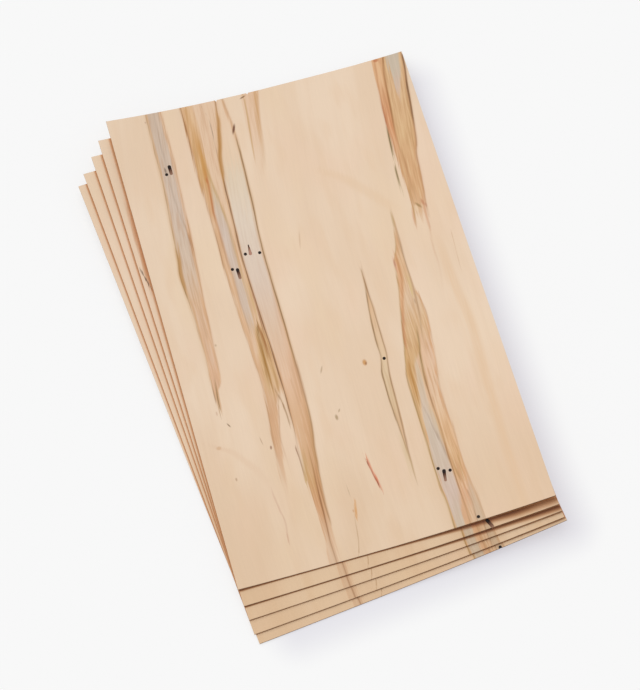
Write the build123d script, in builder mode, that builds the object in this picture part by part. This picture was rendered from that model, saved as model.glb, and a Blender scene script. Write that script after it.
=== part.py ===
"""A fan of five spotted maple veneer leaves, laid one on another.

Millimetres. The pile lies on the plane z = 0 and +Z is up. +Y runs along
the grain of the bottom leaf, which is also its length. The origin is the
middle of the bottom leaf, on the strip that it rests on.

Every leaf has cupped as it dried. All of them cup about one common line,
the valley, which crosses the pile at a slant: a strip along that line
stays flat, and both sides curl up from it. Lower leaves are pressed
flatter by those above them, so the gaps between leaves open towards the
raised corners.
"""

import os
from math import copysign, cos, degrees, radians, sin

from build123d import *

# One leaf, measured flat along the wood. It is cut 1/42 inch thick.
sheet_length = 304.8
sheet_width = 190.5
sheet_thickness = 0.6

# Air between two leaves along the valley, where they lie closest.
air_gap = 0.2

# The valley, as a turn from the length of the bottom leaf, its flat strip, and
# the radius to which the top leaf has curled on either side of it.
valley_turn = -18.0
flat_strip_width = 28.0
curl_radius = 520.0

# Each leaf from the top down: where its centre lies, how far it is turned,
# and the share of the top leaf's curl that it keeps on its left and right.
fan = [
    {"centre": (14.1, 22.8), "turn": -5.7, "left": 1.00, "right": 1.00},
    {"centre": (10.0, 15.8), "turn": -4.1, "left": 0.75, "right": 0.80},
    {"centre": (6.4, 9.9), "turn": -2.7, "left": 0.62, "right": 0.70},
    {"centre": (2.3, 3.9), "turn": -1.2, "left": 0.52, "right": 0.65},
    {"centre": (0.0, 0.0), "turn": 0.0, "left": 0.44, "right": 0.60},
]

# Ambrosia beetles bored through the log, so leaves show their round bores.
# A place on a leaf is its distance across from the leaf's middle line, and
# then along the grain: up from the near end, or, where that is negative,
# down from the far end.
bore_diameter = 2.0
bores = {
    1: [
        (-67.9, -42.3),
        (-45.6, 192.4),
        (-35.4, 200.1),
        (-26.8, 198.8),
        (25.9, 112.4),
        (36.2, 37.4),
        (42.5, 34.3),
        (49.6, 2.4),
    ],
    3: [(53.3, 5.6)],
    5: [(53.8, 0.7)],
}

# The grubs dug cradles along the grain: troughs that narrow from one end to
# the other and leave a thin floor of wood. Where a cradle starts in a bore,
# its head goes right through. Each is a head and a tail, as a place and a
# width, and whether the head is open.
cradle_floor = 0.2
cradles = {
    1: [
        {"head": (-65.0, -37.5), "tail": (-65.0, -42.2), "widths": (2.2, 1.9), "open": True},
        {"head": (-42.7, 191.5), "tail": (-42.6, 186.0), "widths": (2.0, 1.8), "open": True},
        {"head": (-32.1, 205.5), "tail": (-32.4, 199.6), "widths": (0.6, 2.0), "open": False},
        {"head": (39.0, 35.0), "tail": (38.2, 29.3), "widths": (2.2, 1.5), "open": True},
    ],
    2: [{"head": (53.3, 5.0), "tail": (54.9, 0.8), "widths": (2.2, 2.0), "open": True}],
}

# The knife left two small chips in the far end of the top leaf, where its
# dark streaks cross it. They are notches, placed across the leaf.
chip_width = 1.8
chip_depth = 1.1
chips = {1: [-25.5, -5.5]}

# A leaf is trimmed out of a curled blank that reaches this far from the
# valley, measured along the wood, so that it runs past every corner.
blank_reach = 0.75 * sheet_length


def on_leaf(across, along):
    """Turn a place on a leaf into a point on its outline's plane."""
    return across, along - copysign(sheet_length / 2, along)


def seen_from_above(length, radius):
    """Give the width in plan of wood that has curled to a radius."""
    return radius * sin(length / radius)


def curled_blank(leaf, height, thickness):
    """Make a leaf's blank: a flat strip with a round wing on either side."""
    left_radius = curl_radius / leaf["left"] + sheet_thickness
    right_radius = curl_radius / leaf["right"] + sheet_thickness
    turn = radians(valley_turn)
    # Across the valley: x runs to the right and y is up.
    across_valley = Plane(
        origin=(0, 0, height),
        x_dir=(cos(turn), sin(turn), 0),
        z_dir=(sin(turn), -cos(turn), 0),
    )
    with BuildPart() as blank:
        with BuildSketch(across_valley):
            with BuildLine():
                strip = Line((-flat_strip_width / 2, 0), (flat_strip_width / 2, 0))
                JernArc(
                    start=strip @ 1,
                    tangent=strip % 1,
                    radius=right_radius,
                    arc_size=degrees(blank_reach / right_radius),
                )
                JernArc(
                    start=strip @ 0,
                    tangent=(strip % 0) * -1,
                    radius=left_radius,
                    arc_size=-degrees(blank_reach / left_radius),
                )
                offset(amount=thickness, side=Side.LEFT)
            make_face()
        extrude(amount=blank_reach, both=True)
    return blank.part


os.makedirs("parts", exist_ok=True)

for number, leaf in enumerate(fan, start=1):
    leaves_below = len(fan) - number
    height = leaves_below * (sheet_thickness + air_gap)
    turn = radians(leaf["turn"])
    wing = (sheet_width - flat_strip_width) / 2
    width_in_plan = (
        flat_strip_width
        + seen_from_above(wing, curl_radius / leaf["left"])
        + seen_from_above(wing, curl_radius / leaf["right"])
    )

    # On the leaf: x runs across it and y along its grain. The plane lies
    # under the whole pile, so that what is drawn on it can be raised through.
    outline = Plane(
        origin=(*leaf["centre"], -sheet_thickness),
        x_dir=(cos(turn), sin(turn), 0),
        z_dir=(0, 0, 1),
    )
    blank = curled_blank(leaf, height, sheet_thickness)
    above_floor = curled_blank(leaf, height + cradle_floor, 2 * sheet_thickness)

    # What the grubs dug out: a tapered trough above the floor that they left.
    with BuildPart() as troughs:
        for cradle in cradles.get(number, []):
            with BuildSketch(outline):
                for end, width in zip(("head", "tail"), cradle["widths"]):
                    with Locations(on_leaf(*cradle[end])):
                        Circle(width / 2)
                make_hull()
            extrude(amount=blank_reach)
        if cradles.get(number):
            add(above_floor, mode=Mode.INTERSECT)

    with BuildPart() as sheet:
        add(blank)
        with BuildSketch(outline):
            Rectangle(width_in_plan, sheet_length)
            for place in bores.get(number, []):
                with Locations(on_leaf(*place)):
                    Circle(bore_diameter / 2, mode=Mode.SUBTRACT)
            for cradle in cradles.get(number, []):
                if cradle["open"]:
                    with Locations(on_leaf(*cradle["head"])):
                        Circle(cradle["widths"][0] / 2, mode=Mode.SUBTRACT)
            for across in chips.get(number, []):
                with BuildLine():
                    Polyline(
                        (across - chip_width / 2, sheet_length / 2),
                        (across, sheet_length / 2 - chip_depth),
                        (across + chip_width / 2, sheet_length / 2),
                        close=True,
                    )
                make_face(mode=Mode.SUBTRACT)
        extrude(amount=blank_reach, mode=Mode.INTERSECT)
        if cradles.get(number):
            add(troughs.part, mode=Mode.SUBTRACT)

    name = f"veneer_sheet_{number}"
    sheet.part.label = name
    export_step(sheet.part, f"parts/{name}.step")
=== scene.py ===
"""A fan of five spotted maple veneer leaves on a pale floor, laid out as an add-on.

Sizes are metres on the object and millimetres inside the wood's pattern.
"""

from math import copysign, cos, pi, radians, sin

import bmesh
import bpy
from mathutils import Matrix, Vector


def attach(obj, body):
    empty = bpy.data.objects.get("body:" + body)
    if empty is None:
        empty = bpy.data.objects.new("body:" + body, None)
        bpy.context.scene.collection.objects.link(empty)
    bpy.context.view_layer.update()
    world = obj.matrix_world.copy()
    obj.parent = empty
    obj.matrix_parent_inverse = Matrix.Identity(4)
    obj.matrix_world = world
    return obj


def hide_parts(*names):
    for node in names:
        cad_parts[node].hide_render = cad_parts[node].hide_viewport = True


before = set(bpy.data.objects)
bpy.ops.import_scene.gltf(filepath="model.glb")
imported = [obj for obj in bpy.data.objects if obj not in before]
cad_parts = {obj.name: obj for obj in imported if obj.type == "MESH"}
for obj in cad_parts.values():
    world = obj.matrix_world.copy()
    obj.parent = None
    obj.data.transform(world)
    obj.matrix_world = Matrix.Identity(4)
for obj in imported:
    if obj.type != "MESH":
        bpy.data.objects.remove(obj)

bl_info = {
    "name": "Spotted Maple Veneer Pack",
    "version": (1, 0, 0),
    "blender": (4, 5, 0),
    "location": "View3D > Sidebar > Veneer",
    "description": "Builds a fan of curled, spotted maple veneer leaves on a pale floor",
    "category": "Object",
}

MM = 0.001

# How finely a blank is cut: over its flat strip, each wing and its length.
STRIP_CUTS = 5
WING_CUTS = 40
LENGTH_CUTS = 80
BORE_SIDES = 32
CUTTER_DEPTH = 0.004
SMOOTH_ANGLE = radians(30)
# Points nearer than the first are one point, and a wing starts within the second.
WELD = 1e-6
STRIP_SLACK = 1e-5
# A blank reaches this share of the leaf's length from the valley.
BLANK_REACH = 0.75
CRADLE_FLOOR = 0.2 * MM
CHIP_REACH = 1.1 * MM
# An open cradle's hole is this much narrower than its trough, which leaves a fine ledge.
HEAD_SHARE = 0.9
PLUG_SINK = 0.12 * MM
PLUG_DEPTH = 0.35 * MM
PLUG_PLAY = 0.01 * MM

# The photograph's camera: an aim point on the floor and a long lens.
CAMERA_AIM = (0.00430, 0.00402, 0.0)
CAMERA_DISTANCE = 1.36193
CAMERA_TURN = radians(-21.80)
CAMERA_RISE = radians(69.24)
LENS = 118.95
SENSOR = 36
CLIP = (0.05, 20)

# Soft daylight from the picture's upper left. White paper lying flat in it shows as white.
KEY_FROM = (-0.394, 0.919)
KEY_RISE = radians(60)
KEY_SPREAD = radians(80)
KEY_LEVEL = 0.4
FILL_LEVEL = 0.6
LIGHT_COLOUR = "#ffffff"
FLOOR_SIZE = 8.0
FLOOR_DROP = 0.1 * MM

# The camera sees this share of the floor as plain colour, which keeps its shadow faint.
FLOOR_PLAIN_SHARE = 0.7
# The photograph's soft shadow is as wide beside low edges as beside high ones. The
# plain share fades by this much of red, green and blue at the pile's right and near
# edges, and over this many millimetres.
SHADOW_DEPTH = (0.215, 0.23, 0.17)
SHADOW_REACH = 26.0
# The shadow's own outline: these leaves' outlines drawn in from the left and far edges.
SHADOW_INSET = 24.0
SHADOW_LEAVES = (0, 2, 4)

# Each leaf from the top down, as in the part's source: where its centre lies,
# how far it is turned, and the share of the top leaf's curl that each side keeps.
# "shift" moves the pattern of the log on it, because each leaf is one slice on.
FAN = [
    {"centre": (14.1, 22.8), "turn": -5.7, "left": 1.00, "right": 1.00, "shift": (0.0, 0.0)},
    {"centre": (10.0, 15.8), "turn": -4.1, "left": 0.75, "right": 0.80, "shift": (2.5, 0.0)},
    {"centre": (6.4, 9.9), "turn": -2.7, "left": 0.62, "right": 0.70, "shift": (2.0, 0.0)},
    {"centre": (2.3, 3.9), "turn": -1.2, "left": 0.52, "right": 0.65, "shift": (2.5, 0.0)},
    {"centre": (0.0, 0.0), "turn": 0.0, "left": 0.44, "right": 0.60, "shift": (3.0, 0.0)},
]

# Places on a leaf, as in the part's source: across from its middle line, then
# along the grain, up from the near end or, where negative, down from the far end.
BORES = {
    1: [
        (-67.9, -42.3), (-45.6, 192.4), (-35.4, 200.1), (-26.8, 198.8),
        (25.9, 112.4), (36.2, 37.4), (42.5, 34.3), (49.6, 2.4),
    ],
    3: [(53.3, 5.6)],
    5: [(53.8, 0.7)],
}
CRADLES = {
    1: [
        {"head": (-65.0, -37.5), "tail": (-65.0, -42.2), "widths": (2.2, 1.9), "open": True},
        {"head": (-42.7, 191.5), "tail": (-42.6, 186.0), "widths": (2.0, 1.8), "open": True},
        {"head": (-32.1, 205.5), "tail": (-32.4, 199.6), "widths": (0.6, 2.0), "open": False},
        {"head": (39.0, 35.0), "tail": (38.2, 29.3), "widths": (2.2, 1.5), "open": True},
    ],
    2: [{"head": (53.3, 5.0), "tail": (54.9, 0.8), "widths": (2.2, 2.0), "open": True}],
}
CHIPS = {1: [-25.5, -5.5]}
# How far the fine figure of the wood changes from one leaf to the next.
SLICE_STEP = 0.25

# ---------------------------------------------------------------- the log's pattern
# Every path is a list of (along, across) places in millimetres from the middle
# of the top leaf, from its near end to its far end. A strength and a colour go
# with a place along the leaf. The lower leaves are the next slices of the log,
# so they show the same pattern, a little shifted.

# Half of a leaf's width and of its length, and a length beyond any on the pile.
HALF_WIDTH, HALF_LENGTH, FAR = 95.2, 152.4, 1000
# The paths' colours are spread over this far to each side of the leaf's middle. A path that
# stops short of that by more than the second value ends the third value past its last place.
REACH, END_MARGIN, END_SLACK = 160.0, 10.0, 2.0
# How the grain bends as it runs along the leaf.
GRAIN_BEND = [(-153, -14), (-100, -15), (-50, -13), (0, -12), (50, -11), (100, -6), (153, 0)]

LEFT_STREAK = {
    "left": [(-50, -76.3), (-38, -76.8), (-28, -77.0), (-11, -76.2), (7, -76.0), (23, -76.2),
             (36, -77.0), (42, -77.2), (54, -75.6), (67, -74.6), (84, -73.4), (99, -72.1),
             (114, -71.4), (130, -70.9), (153, -70.3)],
    "right": [(-50, -76.0), (-44, -75.4), (-33, -74.0), (-29, -71.6), (-20, -70.2), (-9, -69.7),
              (5, -68.9), (20, -68.0), (37, -66.6), (49, -65.7), (59, -64.8), (73, -64.0),
              (90, -63.0), (108, -61.8), (120, -61.3), (134, -61.2), (153, -60.8)],
}
SPLIT_LEFT = [
    (-106, -53.2), (-93, -52.9), (-81, -52.0), (-66, -50.8), (-48, -49.0), (-33, -48.3),
    (-16, -49.0), (1, -49.6), (20, -50.0), (45, -49.8), (69, -49.6), (102, -49.6),
    (118, -49.2), (134, -48.6), (153, -48.3)]
SPLIT_CORE_LEFT = [
    (-6, -45.6), (0, -46.2), (20, -46.8), (60, -46.9), (77, -47.0), (85, -46.2), (95, -45.4),
    (108, -44.4), (114, -44.0)]
SPLIT_CORE_RIGHT = [
    (-6, -44.0), (0, -42.6), (20, -41.4), (40, -41.0), (60, -40.6), (70, -40.5), (82, -41.2),
    (95, -42.4), (112, -43.4)]
FIRST_VEIN = [
    (-90, -39.2), (-76, -38.4), (-68, -37.5), (-58, -37.0), (-40, -36.8), (-20, -36.7),
    (0, -37.2), (12, -37.5), (30, -37.9), (45, -37.8), (60, -37.3), (80, -36.2), (95, -35.4),
    (105, -34.7), (114, -33.6), (122, -31.6), (130, -29.9), (137, -28.2), (153, -25.7)]
SECOND_VEIN = [
    (-153, -34.0), (-140, -33.6), (-126, -32.9), (-112, -31.9), (-93, -30.4), (-82, -29.4),
    (-72, -27.6), (-60, -26.3), (-40, -25.7), (-20, -25.2), (0, -24.9), (30, -24.8), (45, -24.6),
    (60, -23.9), (74, -22.7), (87, -21.8), (102, -21.0), (116, -20.4), (127, -20.0),
    (141, -20.7), (153, -21.5)]
MIDDLE_LEFT = [(-153, -40.2), (-135, -38.8), (-117, -38.6), (-100, -38.6), (-88, -37.8),
               (-75, -37.3)] + FIRST_VEIN[3:]
MIDDLE_LINE = [
    (-153, -36.0), (-140, -36.0), (-130, -35.5), (-118, -34.8), (-104, -34.1), (-92, -33.4),
    (-80, -33.0)]
CORNER_LEFT = [
    (36, 68.3), (44, 69.4), (50, 70.5), (60, 71.0), (75, 70.9), (95, 71.1), (104, 71.4),
    (112, 71.9), (122, 72.7), (132, 73.8), (153, 75.4)]
CORNER_INNER = [
    (38, 69.0), (43, 69.6), (59, 71.9), (78, 73.2), (95, 74.5), (102, 75.2), (112, 76.4),
    (130, 78.5), (139, 79.7), (145, 80.8), (153, 82.7)]
CORNER_RIGHT = [
    (38, 77.6), (48, 78.8), (60, 80.5), (72, 82.0), (82, 83.0), (90, 85.4), (100, 87.2),
    (110, 88.7), (120, 90.1), (130, 91.4), (141, 93.4), (153, 95.0)]
BROAD_LEFT = [
    (-153, 34.7), (-138, 34.7), (-122, 34.3), (-108, 34.4), (-95, 34.8), (-80, 35.1), (-66, 35.1),
    (-55, 35.5), (-48, 36.9), (-38, 39.2), (-28, 41.4), (-18, 43.3), (-10, 44.8), (0, 47.0),
    (10, 48.6), (18, 49.8), (26, 53.0), (36, 55.2), (46, 56.4)]
BROAD_INNER = [
    (-153, 44.0), (-122, 44.3), (-109, 44.2), (-93, 44.6), (-76, 44.9), (-62, 45.1), (-52, 45.8),
    (-44, 46.8), (-37, 48.5), (-26, 50.0)]
BROAD_RIGHT = [
    (-153, 53.1), (-141, 52.7), (-130, 52.0), (-115, 51.2), (-98, 51.5), (-84, 51.5), (-68, 51.9),
    (-57, 53.4), (-48, 55.2), (-38, 56.5), (-28, 57.5), (-18, 58.1), (-9, 57.2), (-2, 56.0),
    (10, 56.0), (22, 56.3), (34, 56.8), (46, 57.2)]
SLIM_LEFT = [
    (-118, 22.0), (-100, 22.2), (-86, 21.9), (-71, 21.6), (-55, 21.8), (-48, 22.2), (-43, 23.4),
    (-38, 24.4), (-29, 24.5), (-19, 25.1), (-9, 26.1), (0, 27.3), (8, 28.3), (18, 29.0)]
SLIM_RIGHT = [
    (-118, 22.1), (-106, 22.6), (-92, 23.3), (-80, 24.2), (-68, 25.1), (-52, 25.9), (-43, 27.2),
    (-38, 28.0), (-28, 28.4), (-18, 28.5), (-7, 28.9), (4, 28.8), (18, 29.2)]

# Stained bands between two paths: the softness of their edges in millimetres, how strong
# they are and which colour they have along the leaf, a rim inside each edge (colour, width
# at the left and at the right, strength), and the darker and paler fibres in them.
BANDS = [
    # The streak along the left side: grey above, pinkish brown below.
    {**LEFT_STREAK, "soft": (1.4, 1.6),
     "strength": [(-52, 0), (-42, 0.75), (0, 0.9), (153, 0.95)],
     "colours": [(-45, "#cda174"), (-30, "#d8a984"), (0, "#d9b08c"), (25, "#d6b08c"),
                 (50, "#cfb7a0"), (90, "#cdb8a6"), (130, "#cab4a0"), (152, "#c8b09a")],
     "rim": ("#d6a678", 1.6, 1.8, 0.7), "dark": ("#bb8f6a", 0.4), "pale": ("#dcc3ae", 0.35)},
    # The split streak: pinkish beige, ochre along its upper left, tan along its left.
    {"left": SPLIT_LEFT, "right": FIRST_VEIN, "soft": (1.6, 0.8),
     "strength": [(-48, 0), (-38, 0.75), (153, 0.75)],
     "colours": [(-40, "#d2a67c"), (0, "#d8ac84"), (50, "#dcb48e"), (100, "#debb9a"),
                 (152, "#dfbc9c")],
     "rim": ("#cf9c68", 3.6, 1.2, 0.75), "dark": ("#c08e5e", 0.35), "pale": ("#e2c4a6", 0.4)},
    {"left": SPLIT_LEFT,
     "right": [(-106, -51.4), (-84, -48.6), (-70, -46.6), (-56, -44.0), (-46, -42.0), (-40, -39.0)],
     "soft": (1.4, 1.2), "strength": [(-106, 0), (-88, 0.6), (-60, 0.85), (-38, 0.6), (-20, 0)],
     "colours": [(-100, "#cfa07a"), (-60, "#cf9e72"), (-40, "#d2a67c")],
     "dark": ("#bd8a5c", 0.4), "pale": ("#dcb890", 0.4)},
    {"left": SPLIT_LEFT,
     "right": [(72, -47.2), (84, -45.0), (100, -42.8), (120, -41.8), (153, -41.0)],
     "soft": (1.4, 2.2), "strength": [(70, 0), (88, 0.5), (104, 0.9), (153, 0.85)],
     "colours": [(80, "#d1a16c"), (110, "#d1a56c"), (130, "#d6aa7a"), (152, "#dab288")],
     "rim": ("#c58d50", 1.6, 0.6, 0.55), "dark": ("#b98849", 0.45), "pale": ("#e2bf94", 0.45)},
    {"left": SPLIT_CORE_LEFT, "right": SPLIT_CORE_RIGHT, "soft": (1.2, 1.4),
     "strength": [(-10, 0), (4, 0.9), (80, 0.95), (98, 0.5), (110, 0)],
     "colours": [(0, "#d2b394"), (15, "#cdb7a4"), (70, "#cdb8a8"), (95, "#cdb898")],
     "dark": ("#c4a68c", 0.3), "pale": ("#d9c6b8", 0.4)},
    # The middle band between the two veins: nearly white, then lavender, pink and brown.
    {"left": MIDDLE_LEFT, "right": SECOND_VEIN, "soft": (1.0, 0.9),
     "strength": [(-153, 0.6), (-120, 0.7), (-100, 0.9), (0, 0.95), (100, 0.9), (118, 0.45),
                  (153, 0.45)],
     "colours": [(-150, "#cfab8a"), (-115, "#d2a67e"), (-90, "#d1a57a"), (-60, "#d8ae86"),
                 (-35, "#deb796"), (-5, "#dabb9f"), (30, "#d8c2b0"), (70, "#dccbb8"),
                 (100, "#dcc8ae"), (115, "#e0c2a2"), (152, "#e3bf9c")],
     "rim": ("#d9a478", 1.2, 1.8, 0.35), "dark": ("#c49a76", 0.12), "pale": ("#e4cdb6", 0.2)},
    # Its right side is darker and browner from the middle of the leaf down.
    {"left": [(-130, -34.6), (-100, -34.4), (-60, -31.5), (-30, -29.0), (10, -27.0), (20, -25.5)],
     "right": SECOND_VEIN, "soft": (4.0, 0.9),
     "strength": [(-140, 0), (-110, 0.4), (-60, 0.55), (-30, 0.5), (10, 0.35), (25, 0)],
     "colours": [(-110, "#c8935f"), (-50, "#cf9f74"), (0, "#d8a883")],
     "dark": ("#b98555", 0.45), "pale": ("#dfb892", 0.35)},
    {"left": [(-132, -38.0), (-120, -38.2), (-100, -39.0), (-88, -38.6)],
     "right": [(-132, -35.2), (-118, -34.4), (-100, -33.8), (-84, -33.2)], "soft": (2.0, 1.0),
     "strength": [(-136, 0), (-122, 0.65), (-105, 0.75), (-92, 0.4), (-80, 0)],
     "colours": [(-125, "#c98e5a"), (-112, "#c88f5c"), (-100, "#c6995f")],
     "dark": ("#ad753f", 0.5), "pale": ("#dab084", 0.35)},
    # The short streak at the top of the middle: gold and pink, soon gone.
    {"left": [(90, -17.0), (110, -13.5), (120, -12.4), (130, -11.5), (153, -9.4)],
     "right": [(90, -12.0), (104, -8.4), (118, -5.0), (130, -3.0), (153, 2.0)], "soft": (2.4, 2.0),
     "strength": [(84, 0), (110, 0.45), (125, 0.75), (153, 0.85)],
     "colours": [(90, "#dec2a6"), (120, "#dfbc9c"), (152, "#dcb592")],
     "dark": ("#cca27a", 0.3), "pale": ("#e6c8ae", 0.4)},
    # The streak in the far right corner: ochre, a reddish left side and a grey patch.
    {"left": CORNER_LEFT, "right": CORNER_RIGHT, "soft": (1.2, 1.2),
     "strength": [(40, 0), (50, 0.8), (70, 0.95), (153, 0.95)],
     "colours": [(48, "#cfa070"), (75, "#d0a070"), (100, "#d2a978"), (125, "#d3a97c"),
                 (152, "#d2aa7c")],
     "rim": ("#c58e5c", 1.2, 2.2, 0.5), "dark": ("#b98a56", 0.5), "pale": ("#dcbb8c", 0.45)},
    {"left": CORNER_LEFT, "right": CORNER_INNER, "soft": (1.6, 0.8),
     "strength": [(76, 0), (90, 0.7), (110, 0.95), (135, 0.7), (153, 0.8)],
     "colours": [(85, "#d49c72"), (105, "#d08d5e"), (120, "#d2976a"), (140, "#dcab7e")],
     "dark": ("#b87848", 0.5), "pale": ("#e2b98e", 0.4)},
    {"left": [(120, 84.6), (126, 84.0), (140, 84.0), (153, 84.6)],
     "right": [(120, 84.8), (126, 86.2), (132, 88.0), (141, 90.4), (153, 92.8)],
     "soft": (1.4, 1.6), "strength": [(118, 0), (127, 0.75), (136, 0.95), (153, 0.95)],
     "colours": [(120, "#cfb09a"), (132, "#cbb29e"), (141, "#c4b5a0"), (152, "#c2b29e")],
     "dark": ("#bba892", 0.25), "pale": ("#d0bcaa", 0.3)},
    # The broad streak on the right: orange fibres, gold, and a grey wedge below.
    {"left": BROAD_LEFT, "right": BROAD_RIGHT, "soft": (1.2, 1.2),
     "strength": [(-153, 0.9), (20, 0.9), (36, 0.65), (48, 0.2)],
     "colours": [(-150, "#cfaa86"), (-134, "#d9a680"), (-115, "#d2a574"), (-95, "#d9ae80"),
                 (-70, "#dcb896"), (-45, "#dab292"), (-25, "#d2aa7c"), (-8, "#d7b796"),
                 (14, "#d8ae82"), (40, "#cbab84")],
     "rim": ("#d69b68", 2.8, 1.4, 0.7), "dark": ("#bf8a58", 0.5), "pale": ("#e4c5a2", 0.45)},
    {"left": [(-110, 35.2), (-90, 35.4), (-60, 35.6), (-46, 37.0), (-30, 41.5), (-20, 43.5)],
     "right": [(-110, 35.6), (-90, 37.0), (-74, 38.2), (-60, 40.0), (-50, 42.0), (-40, 47.5),
               (-30, 49.5), (-20, 50.0)], "soft": (0.8, 2.2),
     "strength": [(-110, 0), (-92, 0.45), (-75, 0.75), (-50, 0.8), (-36, 0.55), (-20, 0)],
     "colours": [(-90, "#cfb388"), (-65, "#d2a466"), (-50, "#cca063"), (-30, "#d0a872")],
     "dark": ("#b3844a", 0.5), "pale": ("#deba8c", 0.4)},
    {"left": [(-153, 35.6), (-135, 35.4), (-108, 35.0), (-95, 36.0), (-84, 37.4), (-70, 38.8),
              (-58, 40.5), (-48, 42.0)],
     "right": [(-153, 40.8), (-142, 42.2), (-132, 44.0), (-108, 44.0), (-98, 43.2), (-84, 43.0),
               (-70, 43.0), (-58, 43.8), (-48, 44.0)], "soft": (1.0, 1.2),
     "strength": [(-153, 0.95), (-85, 0.95), (-65, 0.8), (-50, 0.5), (-42, 0)],
     "colours": [(-150, "#c8b49c"), (-130, "#cdb5a5"), (-112, "#cab6a2"), (-92, "#cab9a6"),
                 (-75, "#cfb9a2"), (-55, "#c9b596")],
     "dark": ("#bfa48e", 0.25), "pale": ("#d8c5b6", 0.3)},
    {"left": [(-153, 48.6), (-137, 48.6), (-127, 49.4), (-112, 50.3)],
     "right": BROAD_RIGHT[:4], "soft": (0.9, 1.2),
     "strength": [(-153, 0.9), (-134, 0.8), (-122, 0)],
     "colours": [(-150, "#c9ae90"), (-125, "#ccb093")], "dark": ("#b89874", 0.3)},
    # The slim streak between two dark lines.
    {"left": SLIM_LEFT, "right": SLIM_RIGHT, "soft": (0.8, 0.8),
     "strength": [(-118, 0), (-100, 0.7), (-60, 0.75), (-10, 0.85), (12, 0.8), (20, 0.2)],
     "colours": [(-100, "#cda87c"), (-85, "#cfa478"), (-70, "#d2b48a"), (-48, "#d8be98"),
                 (-20, "#dcb994"), (0, "#d6ad82"), (15, "#cfae8c")],
     "dark": ("#c0986a", 0.4)},
    # The golden stain beside the first vein.
    {"left": [(-52, -46.0), (-42, -46.8), (-30, -46.0), (-16, -45.2), (-6, -44.0), (4, -41.8)],
     "right": [(-52, -42.0), (-42, -39.0), (-30, -38.2), (-10, -37.8), (4, -38.4)],
     "soft": (2.0, 1.2), "strength": [(-50, 0), (-38, 0.65), (-18, 0.75), (-2, 0.7), (6, 0)],
     "colours": [(-45, "#cfab7c"), (-20, "#d1a872"), (0, "#cda56a")],
     "dark": ("#a9762e", 0.6), "pale": ("#e0bb92", 0.5)},
]

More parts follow.
